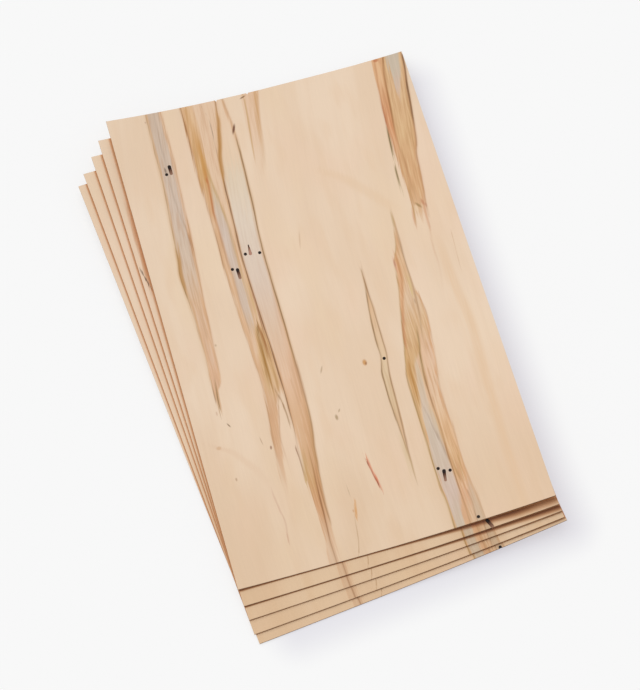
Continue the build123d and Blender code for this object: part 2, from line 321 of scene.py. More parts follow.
# Thin lines of decay and gum along a path: width and colour, strength along the leaf, how
# broken up they are, and a softer stain around them (reach to each side, colour, strength).
GOLDEN = (1.5, "#bb8a4c", 0.55)
ORANGE = (1.6, "#c48850", 0.55)
VEINS = [
    (LEFT_STREAK["left"], 0.7, "#94703e",
     [(-44, 0), (0, 0.25), (28, 0.5), (38, 0.9), (56, 0.9), (64, 0.4), (110, 0.45), (153, 0.3)],
     0.4, (2.2, "#c39458", 0.6)),
    ([(36, -76.4), (42, -76.4), (54, -75.0), (60, -74.4)], 2.0, "#b98a50",
     [(34, 0), (40, 0.85), (54, 0.8), (62, 0)], 0.2),
    (LEFT_STREAK["right"], 0.6, "#b07e50",
     [(-30, 0), (0, 0.3), (55, 0.6), (75, 0.75), (84, 0.25), (153, 0.35)], 0.5,
     (1.8, "#cf9a6c", 0.5)),
    ([(57, -65.4), (62, -65.2), (68, -65.3), (76, -66.0)], 1.1, "#ad7640",
     [(54, 0), (60, 0.8), (70, 0.75), (78, 0)], 0.3),
    ([(-46, -76.3), (-38, -75.8), (-32, -75.0), (-26, -74.2)], 0.7, "#86663c",
     [(-50, 0.3), (-42, 0.85), (-32, 0.6), (-24, 0)], 0.3, GOLDEN),
    ([(-38, -77.3), (-33, -77.0), (-28, -76.6)], 0.6, "#9a6f48",
     [(-40, 0), (-34, 0.7), (-28, 0.3)], 0.3),
    ([(66, -66.0), (80, -66.9), (100, -67.4), (118, -66.6), (134, -66.2), (146, -65.8),
      (152, -65.0)], 1.0, "#a9907c",
     [(60, 0.3), (90, 0.4), (112, 0.45), (130, 0.6), (146, 0.4), (152, 0.3)], 0.5),
    ([(-30, -73.0), (-10, -73.4), (10, -73.0), (26, -73.4)], 1.6, "#c99a70",
     [(-32, 0), (-20, 0.4), (20, 0.4), (32, 0)], 0.7),
    (SPLIT_LEFT, 0.7, "#9a6838", [(-106, 0), (-60, 0.3), (20, 0.2), (48, 0.5), (60, 0.6),
      (70, 0.3), (100, 0.3), (120, 0.7), (140, 0.85), (153, 0.9)], 0.5, (1.6, "#c08a52", 0.55)),
    (SPLIT_CORE_LEFT, 1.2, "#b9733a",
     [(20, 0), (60, 0.35), (74, 0.6), (84, 0.85), (106, 0.85), (114, 0)], 0.35,
     (2.4, "#cf9558", 0.6)),
    (SPLIT_CORE_LEFT, 1.0, "#b88c62", [(-6, 0.2), (0, 0.35), (50, 0.5), (75, 0.3), (90, 0)], 0.6),
    (SPLIT_CORE_RIGHT, 1.1, "#b9935c",
     [(-6, 0), (30, 0.35), (60, 0.5), (80, 0.6), (108, 0.6), (112, 0)], 0.4,
     (2.2, "#d0a874", 0.5)),
    ([(100, -45.6), (108, -44.6), (118, -44.0), (130, -44.4), (150, -45.4)], 2.6, "#c48c42",
     [(98, 0), (106, 0.75), (118, 0.85), (132, 0.45), (150, 0.35)], 0.35),
    ([(24, -39.7), (40, -40.0), (60, -39.6)], 0.7, "#c08a56", [(20, 0.3), (40, 0.5), (60, 0.4)],
     0.7),
    ([(8, -39.4), (20, -39.6), (30, -39.2)], 1.8, "#c8a468",
     [(4, 0), (14, 0.5), (26, 0.55), (32, 0)], 0.5),
    ([(112, -34.5), (122, -34.2), (130, -33.6), (138, -33.3), (151, -35.4)], 0.6, "#745440",
     [(110, 0.7), (136, 0.6), (140, 0.25), (151, 0.25)], 0.9),
    ([(100, -37.0), (112, -37.2), (130, -36.4), (150, -36.0)], 1.2, "#d2a886",
     [(94, 0), (112, 0.5), (150, 0.5)], 0.6),
    (FIRST_VEIN, 0.7, "#7c5226", [(-92, 0), (-84, 0.15), (-66, 0.3), (-54, 0.75), (0, 0.9),
      (104, 0.9), (130, 0.85), (140, 0.5), (153, 0.65)], 0.25, (1.7, "#c08c58", 0.5)),
    ([(100, -34.7), (106, -34.2), (114, -33.0), (122, -31.0), (130, -29.4), (137, -28.0),
      (144, -26.9)], 2.0, "#b5803c", [(97, 0), (106, 0.85), (136, 0.85), (146, 0)], 0.35,
     (2.8, "#cfa068", 0.5)),
    ([(-4, -38.4), (6, -38.2), (16, -38.2), (22, -38.3)], 0.8, "#8f5630",
     [(-8, 0), (2, 0.6), (18, 0.7), (24, 0)], 0.4),
    (SECOND_VEIN, 0.75, "#866030", [(-124, 0), (-100, 0.35), (-80, 0.6), (-50, 0.5), (-30, 0.75),
      (0, 0.85), (90, 0.85), (122, 0.75), (130, 0.2), (153, 0.35)], 0.3, (1.7, "#bf9258", 0.55)),
    ([(-52, -26.2), (-40, -25.9), (-28, -25.4)], 1.9, "#b58a66",
     [(-56, 0), (-44, 0.7), (-32, 0.7), (-24, 0)], 0.4),
    ([(-94, -30.8), (-82, -29.8), (-72, -28.4), (-58, -27.2)], 2.2, "#b98a58",
     [(-100, 0), (-84, 0.6), (-66, 0.5), (-56, 0)], 0.4),
    ([(126, -20.2), (134, -20.4), (141, -21.0), (152, -21.6)], 1.8, "#cf9f74",
     [(120, 0), (130, 0.6), (152, 0.6)], 0.5),
    ([(-92, -39.3), (-84, -39.5), (-77, -39.9)], 0.7, "#8e6040",
     [(-95, 0.1), (-86, 0.5), (-79, 0.8), (-76, 0)], 0.4),
    (MIDDLE_LINE, 0.7, "#8a5a2c",
     [(-153, 0.4), (-136, 0.5), (-120, 0.8), (-104, 0.7), (-92, 0.3), (-80, 0)], 0.4,
     (1.6, "#b0733c", 0.5)),
    ([(-128, -32.8), (-114, -32.7), (-100, -32.4), (-92, -31.6)], 0.8, "#9a6a38",
     [(-132, 0), (-118, 0.6), (-100, 0.6), (-90, 0)], 0.6, ORANGE),
    ([(-98, -38.6), (-90, -37.6), (-80, -36.0)], 2.6, "#bd9658",
     [(-104, 0), (-97, 0.7), (-88, 0.4), (-78, 0)], 0.4),
    ([(-54, -30.2), (-44, -30.6), (-36, -30.8)], 1.2, "#c89a74",
     [(-60, 0), (-48, 0.5), (-36, 0.4)], 0.4),
    ([(-62, -39.0), (-54, -39.3), (-48, -40.2), (-44, -41.2)], 0.7, "#946c42",
     [(-66, 0.2), (-56, 0.6), (-48, 0.8), (-43, 0.3)], 0.4, (1.3, "#c49c74", 0.5)),
    ([(-96, -46.6), (-72, -46.8), (-60, -44.4), (-50, -42.2), (-46, -41.4)], 0.7, "#b58458",
     [(-96, 0), (-66, 0.4), (-50, 0.6), (-45, 0.2)], 0.6),
    ([(110, -12.8), (120, -11.6), (130, -10.2), (140, -9.0), (152, -8.2)], 1.2, "#bf955c",
     [(104, 0), (122, 0.6), (152, 0.65)], 0.4),
    ([(100, -9.2), (110, -7.0), (120, -5.5), (130, -4.0), (140, -2.3), (152, -0.2)], 2.6,
     "#c4935a", [(96, 0), (118, 0.45), (130, 0.65), (152, 0.75)], 0.35),
    (CORNER_LEFT, 1.4, "#b06c40", [(84, 0), (100, 0.5), (114, 0.8), (126, 0.3), (153, 0)], 0.4),
    (CORNER_INNER, 1.1, "#9a6430", [(90, 0.1), (104, 0.5), (116, 0.75), (153, 0.8)], 0.35,
     (1.9, "#be8648", 0.5)),
    (CORNER_RIGHT, 0.8, "#a06c3c", [(38, 0.2), (60, 0.35), (84, 0.55), (100, 0.7), (153, 0.8)],
     0.35, (1.8, "#c08c58", 0.5)),
    (CORNER_RIGHT, 1.1, "#6a4518", [(100, 0), (110, 0.8), (128, 0.9), (136, 0.5), (150, 0.6)],
     0.3),
    ([(106, 87.4), (116, 88.0), (128, 89.0)], 1.0, "#b0804a", [(102, 0), (112, 0.6), (130, 0)],
     0.5),
    ([(86, 69.4), (95, 70.0), (104, 70.9)], 0.8, "#66501c",
     [(85, 0.3), (92, 0.95), (100, 0.8), (106, 0)], 0.2, (1.3, "#a88a48", 0.55)),
    ([(62, 67.4), (70, 67.7), (79, 68.3)], 0.8, "#6a5422",
     [(61, 0.3), (66, 0.9), (74, 0.8), (80, 0)], 0.2, (1.3, "#b09658", 0.5)),
    ([(38, 69.0), (44, 70.0), (54, 71.6), (64, 72.2)], 1.0, "#b58a52",
     [(34, 0), (44, 0.6), (60, 0.5), (66, 0)], 0.5),
    ([(34, 68.0), (42, 69.0), (47, 69.8)], 1.4, "#cf9a74", [(30, 0), (42, 0.7), (48, 0.3)], 0.4),
    ([(34, 76.2), (42, 76.6), (50, 77.9)], 1.6, "#cf9b78", [(28, 0), (42, 0.6), (52, 0.5)], 0.4),
    ([(60, 73.2), (70, 74.6), (80, 75.0), (90, 74.6)], 1.0, "#b07c4c",
     [(56, 0), (66, 0.55), (86, 0.5), (94, 0)], 0.6),
    ([(86, 82.6), (96, 84.4), (108, 86.4)], 0.9, "#b98a56", [(80, 0), (94, 0.5), (110, 0.2)], 0.6),
    ([(-10, 72.0), (4, 74.0), (20, 74.8), (34, 76.2)], 1.2, "#d2ab88",
     [(-10, 0), (10, 0.4), (34, 0.5)], 0.6),
    ([(0, 86.0), (24, 87.7)], 0.5, "#c59a6e", [(0, 0.3), (24, 0.5)], 0.7),
    (BROAD_LEFT, 0.8, "#a07a40", [(-153, 0.8), (-110, 0.75), (-60, 0.65), (-44, 0.4), (-32, 0.7),
      (-20, 0.7), (-10, 0.3), (20, 0.4), (46, 0)], 0.35, (1.5, "#c4a066", 0.5)),
    ([(-36, 40.6), (-28, 41.8), (-20, 43.6), (-12, 45.2)], 1.4, "#bd7c4e",
     [(-40, 0), (-32, 0.7), (-22, 0.75), (-10, 0)], 0.3),
    ([(-14, 45.4), (-8, 46.9), (-2, 48.6), (4, 50.2), (10, 51.0), (22, 51.8)], 1.2, "#bf8450",
     [(-18, 0), (-8, 0.65), (4, 0.7), (20, 0.6), (26, 0)], 0.4, (2.4, "#d89c68", 0.5)),
    ([(12, 49.2), (20, 49.8)], 1.4, "#cf8f78", [(10, 0), (14, 0.6), (20, 0.5), (24, 0)], 0.5),
    ([(-74, 37.9), (-62, 38.0), (-52, 38.2), (-44, 39.4)], 2.0, "#b07a30",
     [(-78, 0), (-68, 0.6), (-54, 0.85), (-42, 0)], 0.35),
    (BROAD_INNER, 1.0, "#8c6a30", [(-66, 0), (-58, 0.7), (-40, 0.8), (-30, 0.6), (-26, 0.1)], 0.3,
     (2.0, "#c0985a", 0.55)),
    (BROAD_INNER, 0.8, "#97693a", [(-153, 0.6), (-100, 0.7), (-62, 0.7), (-54, 0)], 0.45,
     (1.7, "#c6935c", 0.55)),
    (BROAD_RIGHT, 0.8, "#b08254", [(-153, 0.4), (-112, 0.25), (-96, 0.4), (-60, 0.3), (-40, 0.15),
      (-24, 0.35), (-10, 0.45), (0, 0)], 0.6, (1.6, "#d0a67c", 0.4)),
    ([(-48, 50.0), (-34, 51.4), (-25, 53.0), (-16, 54.3), (-8, 55.2), (4, 55.7), (20, 56.0),
      (32, 56.6), (46, 56.8)], 0.9, "#a5805c",
     [(-50, 0), (-30, 0.3), (-14, 0.5), (20, 0.7), (38, 0.5), (46, 0.4)], 0.4,
     (1.6, "#c3a078", 0.45)),
    ([(-52, 48.6), (-42, 49.4), (-30, 51.2)], 2.6, "#e0ba98",
     [(-64, 0), (-48, 0.7), (-34, 0.6), (-26, 0)], 0.3),
    ([(-4, 54.0), (2, 54.4), (8, 54.4)], 1.8, "#cfb478", [(-8, 0), (-2, 0.6), (4, 0.5), (10, 0)],
     0.4),
    ([(38, 56.3), (44, 56.6), (50, 57.0)], 1.4, "#b59a64",
     [(34, 0), (42, 0.6), (48, 0.3), (54, 0)], 0.4),
    ([(-108, 43.2), (-100, 42.4), (-90, 41.1), (-80, 40.0), (-72, 38.8)], 0.9, "#aa917c",
     [(-110, 0.2), (-98, 0.7), (-84, 0.5), (-72, 0.2)], 0.4),
    ([(-100, 44.0), (-88, 43.2), (-76, 42.6)], 2.2, "#d2b288",
     [(-106, 0), (-94, 0.6), (-80, 0.5), (-70, 0)], 0.4),
    ([(-153, 42.6), (-140, 43.0), (-130, 44.2)], 2.6, "#d3a47c",
     [(-153, 0.85), (-140, 0.7), (-130, 0)], 0.4),
    ([(-128, 47.2), (-118, 46.0), (-108, 45.6)], 0.9, "#b08450",
     [(-132, 0), (-122, 0.75), (-110, 0.4), (-104, 0)], 0.5),
    ([(-124, 48.8), (-116, 49.0), (-108, 50.0)], 1.2, "#b5894e",
     [(-128, 0), (-120, 0.6), (-112, 0.5), (-104, 0)], 0.5),
    ([(-150, 48.5), (-142, 48.8), (-134, 48.4)], 0.7, "#9c7450",
     [(-152, 0.2), (-146, 0.6), (-136, 0.7), (-132, 0)], 0.4),
    ([(-148, 46.4), (-136, 46.6), (-126, 46.0)], 0.9, "#b98558",
     [(-153, 0.5), (-140, 0.5), (-126, 0)], 0.6),
    (SLIM_LEFT, 0.75, "#7f5a2c", [(-118, 0.1), (-100, 0.35), (-84, 0.5), (-58, 0.8), (-48, 0.85),
      (-40, 0.5), (-28, 0.75), (-18, 0.85), (-8, 0.5), (4, 0.6), (14, 0.3)], 0.4,
     (1.4, "#c49a68", 0.45)),
    (SLIM_RIGHT, 0.75, "#8b6032", [(-118, 0.1), (-106, 0.4), (-88, 0.6), (-56, 0.8), (-40, 0.5),
      (-20, 0.65), (-2, 0.5), (10, 0.75), (18, 0.2)], 0.4, (1.4, "#c89c6c", 0.45)),
    ([(-114, 21.4), (-104, 21.2), (-96, 21.0), (-86, 21.2)], 2.4, "#cdb284",
     [(-120, 0), (-102, 0.6), (-84, 0)], 0.4),
    ([(-16, -42.4), (-4, -41.6), (2, -40.8)], 1.4, "#8e6422",
     [(-18, 0), (-10, 0.5), (0, 0.8), (4, 0)], 0.4),
    ([(-38, -43.2), (-28, -42.8), (-18, -42.4), (-8, -41.7)], 2.0, "#a07026",
     [(-44, 0), (-32, 0.65), (-16, 0.95), (-6, 0)], 0.3),
    ([(-20, -39.0), (-12, -39.3), (-6, -39.7), (0, -40.2)], 1.6, "#9c6226",
     [(-24, 0), (-14, 0.7), (-5, 0.95), (2, 0.3)], 0.35),
    ([(-153, -23.4), (-146, -21.2), (-138, -19.8), (-131, -19.0), (-124, -17.6)], 0.6, "#b0885e",
     [(-153, 0.3), (-146, 0.6), (-136, 0.5), (-130, 0.2), (-124, 0)], 0.4),
    ([(-118, -17.4), (-110, -17.6)], 0.6, "#ad8e6a", [(-120, 0), (-114, 0.6), (-109, 0)], 0.4),
    ([(-129, -17.6), (-125, -16.8), (-122, -16.2)], 1.1, "#cf9252",
     [(-130, 0.2), (-127, 0.9), (-122, 0.5)], 0.1, (1.4, "#dcae78", 0.5)),
    ([(-117, 1.1), (-107, -0.4), (-97, -1.8)], 1.0, "#d2683c",
     [(-118, 0.3), (-113, 0.9), (-104, 0.6), (-97, 0.8)], 0.1, (1.5, "#dfa47c", 0.4)),
    ([(-117, 0.9), (-107, -0.7), (-97, -2.1)], 0.5, "#8a4424",
     [(-118, 0.3), (-115, 0.9), (-104, 0.5), (-97, 0.8)], 0.3),
    ([(-130, -59.1), (-121, -58.1), (-112, -59.2), (-101, -60.5)], 0.9, "#c4967a",
     [(-140, 0), (-125, 0.6), (-100, 0.3)], 0.5),
    ([(-100, -59.0), (-86, -65.8), (-76, -72.9), (-70, -78.3), (-66, -85.9)], 4.0, "#dfc0a2",
     [(-102, 0), (-85, 0.5), (-68, 0.6)], 0.3),
    ([(60, -28.6), (80, -27.4), (100, -25.6)], 1.6, "#e4d0b8",
     [(52, 0), (70, 0.5), (96, 0.4), (104, 0)], 0.5),
    ([(-152, 77.0), (-103, 77.7), (-65, 80.0), (-35, 81.5), (8, 79.0), (36, 79.0)], 5.0, "#dcb78f",
     [(-152, 0.3), (-100, 0.5), (0, 0.5), (20, 0.3), (40, 0)], 0.4),
    ([(50, 60.5), (65, 48.7), (78, 38.0), (90, 22.6)], 7.0, "#dfbf9c",
     [(48, 0), (60, 0.45), (84, 0.45), (94, 0)], 0.2),
    ([(-36, 98.0), (15, 97.0), (48, 98.0)], 3.0, "#dcb891",
     [(-40, 0), (-10, 0.4), (40, 0.3), (60, 0)], 0.4),
]
# A brown streak and a crack at the left edge of the second leaf alone.
SECOND_LEAF_VEINS = [
    ([(50, -94.1), (70, -93.5), (90, -93.1), (112, -92.7)], 2.0, "#c98f5c",
     [(48, 0), (60, 0.7), (100, 0.6), (114, 0)], 0.4),
    ([(51, -93.6), (57, -94.9), (64, -96.7)], 0.8, "#5a3a20", [(50, 0.3), (56, 0.9), (64, 0.5)],
     0.1),
]

# Noises drawn out along the grain: size across and along, seed and detail. Real maple fibres
# are finer than a tenth of a millimetre, so the finest is as coarse as it needs to show.
FIBRES = (0.9, 26.0, 0.0, 3.0)
SWAY = (14.0, 30.0, 3.0, 1.0)
STREAKS = (1.1, 22.0, 5.0, 2.0)
FINE_GRAIN = (0.35, 9.0, 11.0, 2.0)
# How far the noises shift things: the ends of a stain and a path's turns along the grain,
# and the soft edge of a band, a thin line and the whole pattern across it.
RAGGED_END, RAGGED_TURN = 30.0, 6.0
FEATHER, WAVER, DRIFT = 5.0, 1.2, 0.8
# Where in the streaks' noise a fibre starts to be dark or pale, and where it is full.
DARK_FIBRES, PALE_FIBRES = (0.48, 0.64), (0.49, 0.36)
# The fine grain's darkest and palest tone, at these two sums of its noises.
FINE_SUMS, FINE_TONES = (0.7, 1.3), (0.985, 1.015)
# A line is full to the first share of its width and gone at the second, and its halo and a
# band's rim are full to a share of theirs.
LINE_CORE, LINE_EDGE = 0.15, 0.9
HALO_CORE, RIM_CORE = 0.1, 0.2
# Where the fibres' noise is below the first value a line is broken, above the second whole.
BREAKS = (0.4, 0.55)
# A mark's ball is this much wider than the mark, and its middle is full from here.
MARK_REACH, MARK_CORE = 1.4, 0.7

# Clear wood: its ground, then the size of each soft tone across and along the grain, its seed,
# where in its noise it starts and is full, its strength, and its share of the wood's colour.
GROUND_TONE = (0.965, 0.945, 0.915)
CLEAR_TONES = [
    (30.0, 95.0, 7.0, 0.34, 0.66, 1.0, (1.015, 1.03, 1.045)),
    (40.0, 60.0, 8.0, 0.48, 0.70, 0.6, (1.0, 0.955, 0.94)),
    (24.0, 80.0, 9.0, 0.50, 0.72, 0.5, (1.0, 0.99, 0.93)),
    (5.0, 90.0, 10.0, 0.50, 0.74, 0.3, (0.95, 0.91, 0.86)),
]
# A faint figure slants across the grain: its turn, size, place in its noise, strength, tone.
FIGURE_TURN, FIGURE_SIZE = radians(-50), (11.0, 40.0)
FIGURE_NOISE, FIGURE_STRENGTH, FIGURE_TONE = (0.48, 0.7), 0.5, (0.965, 0.92, 0.86)
# Painted light and shade across the curl: the tone from the log's left to its right side, the left
# wing painted paler and the right wing darker against the key light, this far out from its middle.
PAINTED_LEFT_LIGHT, PAINTED_RIGHT_SHADE, SIDE = 1.01, 0.985, 95.0
# The near ends are browner: the tone, and the places where it starts and is full. On the lower
# leaves, painted shade from the leaves above darkens them further, with its own tone and places.
NEAR_END_TONE, NEAR_END = (0.945, 0.915, 0.87), (-30.0, -150.0)
LOWER_LEAF_SHADE, LOWER_LEAF_SHADE_END = (0.935, 0.88, 0.795), (20.0, -125.0)

# The cradles' stain by the distance from the head, in millimetres.
CRADLE_REACH = 8.0
CRADLE_STAIN = [(0.9, "#24140e"), (1.8, "#4a2c1e"), (3.2, "#74503c"), (5.0, "#95705a"),
                (8.0, "#b58874")]

# The shade beside the leaf above, by side: its colour, where it starts to fade and where it
# ends (millimetres, and the growth with each millimetre of gap) and its strength.
COVER_SHADES = [
    ("left", "#b06a35", (0.0, 0.1), (0.9, 0.6), 0.5),
    ("near", "#5e2a10", (0.0, 0.2), (0.35, 2.6), 0.95),
]
# Light that bounces between two leaves grows warmer at each bounce.
BOUNCE_TINT = (1.0, 0.5, 0.05)
# A gap wider than this, in millimetres, makes no wider shade.
WIDEST_GAP = 1.95
# The shade's strength and its gap, as shares, on the fourth and fifth leaf: the leaves press
# closer there.
LOWER_SHARE, LOWER_GAP = 0.5, 0.25
# Beside a corner, the near side's share of the shade is worked out with this much slack.
CORNER_SLACK = 0.05
# Painted shade along a leaf's own near edge, dark over this width, in millimetres: the dark line of
# the gap under that edge.
NEAR_EDGE_SHADE_WIDTH, NEAR_EDGE_SHADE_COLOUR, NEAR_EDGE_SHADE_SHARE = 0.4, "#5a2f14", 0.55
# Where the gap is this wide, at the near right corner, light gets in and softens the shade.
SOFT_GAPS, SOFT_SHARE = (1.9, 2.6), 0.68
# An edge within this distance of a leaf's end is an end, cut across the grain.
EDGE_SLACK = 0.1
# Raw wood is matt, a cut end more so, and a gallery's wall is rough.
FACE_ROUGHNESS, EDGE_ROUGHNESS, GALLERY_ROUGHNESS = 0.62, 0.8, 0.9

# Small marks: place across and along, half sizes, turn, colour and strength.
MARKS = [
    ((14.1, -39.1), (1.3, 2.0), 0, "#c68d4c", 0.9),
    ((14.7, -39.9), (0.5, 1.0), -20, "#8a5426", 0.7),
    ((-11.8, -36.3), (0.5, 2.4), -25, "#a98a66", 0.6),
    ((-11.5, -67.5), (0.9, 1.8), 0, "#9a7d52", 0.7),
    ((-8.9, -63.8), (0.5, 1.2), -30, "#a08158", 0.6),
    ((-53.7, -74.9), (0.6, 1.2), -10, "#8e5f45", 0.8),
    ((-58.1, -69.5), (0.3, 2.6), 8, "#a98362", 0.6),
    ((-78.4, -88.5), (0.6, 1.1), 0, "#a9835f", 0.6),
    ((-68.2, -4.8), (0.7, 0.8), 0, "#b79a76", 0.6),
    ((-73.9, -55.2), (0.4, 1.6), 30, "#7f6042", 0.8),
    ((-78.8, -46.5), (0.5, 1.4), 0, "#c39a7a", 0.5),
    ((-83.2, -67.5), (1.6, 1.2), 0, "#cfa57d", 0.6),
    ((-20.0, 130.5), (0.8, 3.4), -22, "#6e4020", 0.95),
    ((-8.9, 150.2), (0.5, 2.0), -70, "#7c5630", 0.85),
    ((-1.2, 48.0), (0.5, 6.0), -12, "#c9a480", 0.5),
    ((-68.0, 112.8), (0.6, 2.2), 0, "#776452", 0.75),
    ((77.6, 151.4), (1.8, 1.1), 0, "#b4602f", 0.7),
    ((74.2, 48.8), (0.8, 2.6), 35, "#9a7844", 0.75),
    ((77.2, 50.0), (0.8, 2.4), 10, "#bd7e58", 0.7),
    ((78.6, 47.6), (0.6, 1.6), 0, "#b98062", 0.6),
    ((72.4, 47.2), (1.1, 2.6), 0, "#e3c6a2", 0.7),
    ((49.4, 16.5), (0.6, 2.4), 0, "#b98468", 0.6),
    ((-45.2, 100.6), (0.6, 2.0), 0, "#b96c32", 0.6),
    ((-18.2, -125.2), (0.5, 1.0), 0, "#c28a52", 0.5),
    ((-71.6, 147.0), (0.5, 0.7), 0, "#b08c70", 0.5),
    ((53.9, -10.5), (0.5, 2.0), 0, "#a98460", 0.5),
]


def linear(hex_colour):
    """Turn an sRGB hex colour into linear red, green and blue."""
    parts = [int(hex_colour[i:i + 2], 16) / 255 for i in (1, 3, 5)]
    return tuple(c / 12.92 if c <= 0.04045 else ((c + 0.055) / 1.055) ** 2.4 for c in parts)


class VeneerSizes(bpy.types.PropertyGroup):
    sheet_length: bpy.props.FloatProperty(
        name="Leaf length", description="Length of a leaf along its grain",
        default=0.3048, min=0.05, unit="LENGTH")
    sheet_width: bpy.props.FloatProperty(
        name="Leaf width", description="Width of a leaf, measured flat",
        default=0.1905, min=0.05, unit="LENGTH")
    sheet_thickness: bpy.props.FloatProperty(
        name="Leaf thickness", description="Thickness to which the leaf was sliced",
        default=0.0006, min=0.0002, precision=5, unit="LENGTH")
    air_gap: bpy.props.FloatProperty(
        name="Air gap", description="Air between two leaves along the valley",
        default=0.0002, min=0.0, precision=5, unit="LENGTH")
    valley_turn: bpy.props.FloatProperty(
        name="Valley turn", description="Turn of the line that the leaves have cupped about",
        default=radians(-18), subtype="ANGLE")
    flat_strip_width: bpy.props.FloatProperty(
        name="Flat strip", description="Width of the flat strip along the valley",
        default=0.028, min=0.002, unit="LENGTH")
    curl_radius: bpy.props.FloatProperty(
        name="Curl radius", description="Radius to which the top leaf has curled",
        default=0.52, min=0.1, unit="LENGTH")
    bore_diameter: bpy.props.FloatProperty(
        name="Bore diameter", description="Diameter of a beetle's bore",
        default=0.002, min=0.0005, precision=4, unit="LENGTH")


class VeneerColours(bpy.types.PropertyGroup):
    maple: bpy.props.FloatVectorProperty(
        name="Maple", description="Clear maple sapwood", subtype="COLOR", size=3,
        min=0.0, max=1.0, default=linear("#e6ccb1"))
    # Partly end grain, partly painted shade: the cut ends are as dark as the shade line under each
    # leaf's near edge.
    cut_end_and_shade: bpy.props.FloatVectorProperty(
        name="Cut edge", description="Edges cut by the guillotine", subtype="COLOR", size=3,
        min=0.0, max=1.0, default=linear("#5a3418"))
    long_edge: bpy.props.FloatVectorProperty(
        name="Long edge", description="Edges cut along the grain", subtype="COLOR", size=3,
        min=0.0, max=1.0, default=linear("#c39a72"))
    gallery: bpy.props.FloatVectorProperty(
        name="Gallery", description="Bores and plugs blackened by the fungus", subtype="COLOR",
        size=3, min=0.0, max=1.0, default=linear("#1e120d"))
    floor: bpy.props.FloatVectorProperty(
        name="Floor", description="Pale studio floor", subtype="COLOR", size=3,
        min=0.0, max=1.0, default=linear("#f8f8f8"))


# A soft step needs no clamp of its own. A clamp would become a node late in the shader's
# order, and so many values would wait for it that the renderer's stack could not hold them.
SOFT = {"interpolation_type": "SMOOTHSTEP", "clamp": False}
# A mix of two colours, whose result is its third output.
RGBA = {"out": 2, "data_type": "RGBA"}


def add_node(tree, kind, inputs=None, out=0, points=None, extend="EXTRAPOLATED", stops=None,
             **settings):
    """Add one node with its settings, links, curve points or colour stops, and give an output."""
    made = tree.nodes.new("ShaderNode" + kind)
    for name, value in settings.items():
        setattr(made, name, value)
    for socket, value in (inputs or {}).items():
        if isinstance(value, bpy.types.NodeSocket):
            tree.links.new(value, made.inputs[socket])
        else:
            made.inputs[socket].default_value = value
    if points:
        made.mapping.use_clip = False
        made.mapping.extend = extend
        curve = made.mapping.curves[0]
        while len(curve.points) < len(points):
            curve.points.new(0, 0)
        for point, place in zip(curve.points, points):
            point.location = place
            point.handle_type = "AUTO_CLAMPED"
        made.mapping.update()
    if stops:
        ramp = made.color_ramp.elements
        while len(ramp) < len(stops):
            ramp.new(1.0)
        for stop, (place, colour) in zip(ramp, stops):
            stop.position = place
            stop.color = (*colour, 1)
    return None if out is None else made.outputs[out]


def enter_only(piece):
    """Select one object alone and make it active."""
    bpy.ops.object.select_all(action="DESELECT")
    piece.select_set(True)
    bpy.context.view_layer.objects.active = piece


def select_edges(piece, test):
    """In edit mode, select the edges whose two ends pass a test."""
    mesh = bmesh.from_edit_mesh(piece.data)
    bpy.ops.mesh.select_all(action="DESELECT")
    bpy.ops.mesh.select_mode(type="EDGE")
    for edge in mesh.edges:
        if all(test(end.co) for end in edge.verts):
            edge.select = True
    bmesh.update_edit_mesh(piece.data)


def valley_axes(sizes):
    """Give the directions across and along the valley, level with the floor."""
    turn = sizes.valley_turn
    return Vector((cos(turn), sin(turn), 0)), Vector((-sin(turn), cos(turn), 0))


def leaf_place(leaf, sizes, place):
    """Turn a place on a leaf into a point on the floor's plane, in metres."""
    across = place[0] * MM
    along = place[1] * MM - copysign(sizes.sheet_length / 2, place[1])
    turn = radians(leaf["turn"])
    return Vector((
        leaf["centre"][0] * MM + cos(turn) * across - sin(turn) * along,
        leaf["centre"][1] * MM + sin(turn) * across + cos(turn) * along,
        0,
    ))


def surface(leaf, sizes, height, point):
    """Give the height and the normal of a leaf's top face over a point of the floor."""
    across = point.dot(valley_axes(sizes)[0])
    side = copysign(1, across)
    radius = sizes.curl_radius / leaf["right" if side > 0 else "left"]
    out = max(0.0, abs(across) - sizes.flat_strip_width / 2)
    drop = (radius ** 2 - out ** 2) ** 0.5
    normal = valley_axes(sizes)[0] * (-side * out / radius) + Vector((0, 0, drop / radius))
    return height + sizes.sheet_thickness + radius - drop, normal


def curled_blank(name, leaf, sizes, height):
    """Make a blank's underside: a flat strip along the valley, with a wing spun up on each side."""
    reach = BLANK_REACH * sizes.sheet_length
    half_strip = sizes.flat_strip_width / 2
    bpy.ops.object.select_all(action="DESELECT")
    bpy.ops.mesh.primitive_grid_add(
        x_subdivisions=STRIP_CUTS, y_subdivisions=LENGTH_CUTS, size=1, location=(0, 0, height))
    blank = bpy.context.object
    blank.name = blank.data.name = name
    bpy.ops.transform.resize(value=(2 * half_strip, 2 * reach, 1))
    bpy.ops.object.transform_apply(location=True, rotation=True, scale=True)
    bpy.ops.object.mode_set(mode="EDIT")
    for side, share in ((1, leaf["right"]), (-1, leaf["left"])):
        radius = sizes.curl_radius / share + sizes.sheet_thickness
        select_edges(blank, lambda co: co.x * side > half_strip - STRIP_SLACK)
        bpy.ops.mesh.spin(
            steps=WING_CUTS,
            angle=reach / radius,
            center=(side * half_strip, 0, height + radius),
            axis=(0, side, 0),
        )
    bpy.ops.mesh.select_all(action="SELECT")
    bpy.ops.mesh.remove_doubles(threshold=WELD)
    bpy.ops.mesh.normals_make_consistent(inside=False)
    if next(iter(bmesh.from_edit_mesh(blank.data).faces)).normal.z < 0:
        bpy.ops.mesh.flip_normals()
    bpy.ops.object.mode_set(mode="OBJECT")
    blank.rotation_euler.z = sizes.valley_turn
    bpy.ops.object.transform_apply(location=True, rotation=True, scale=True)
    return blank


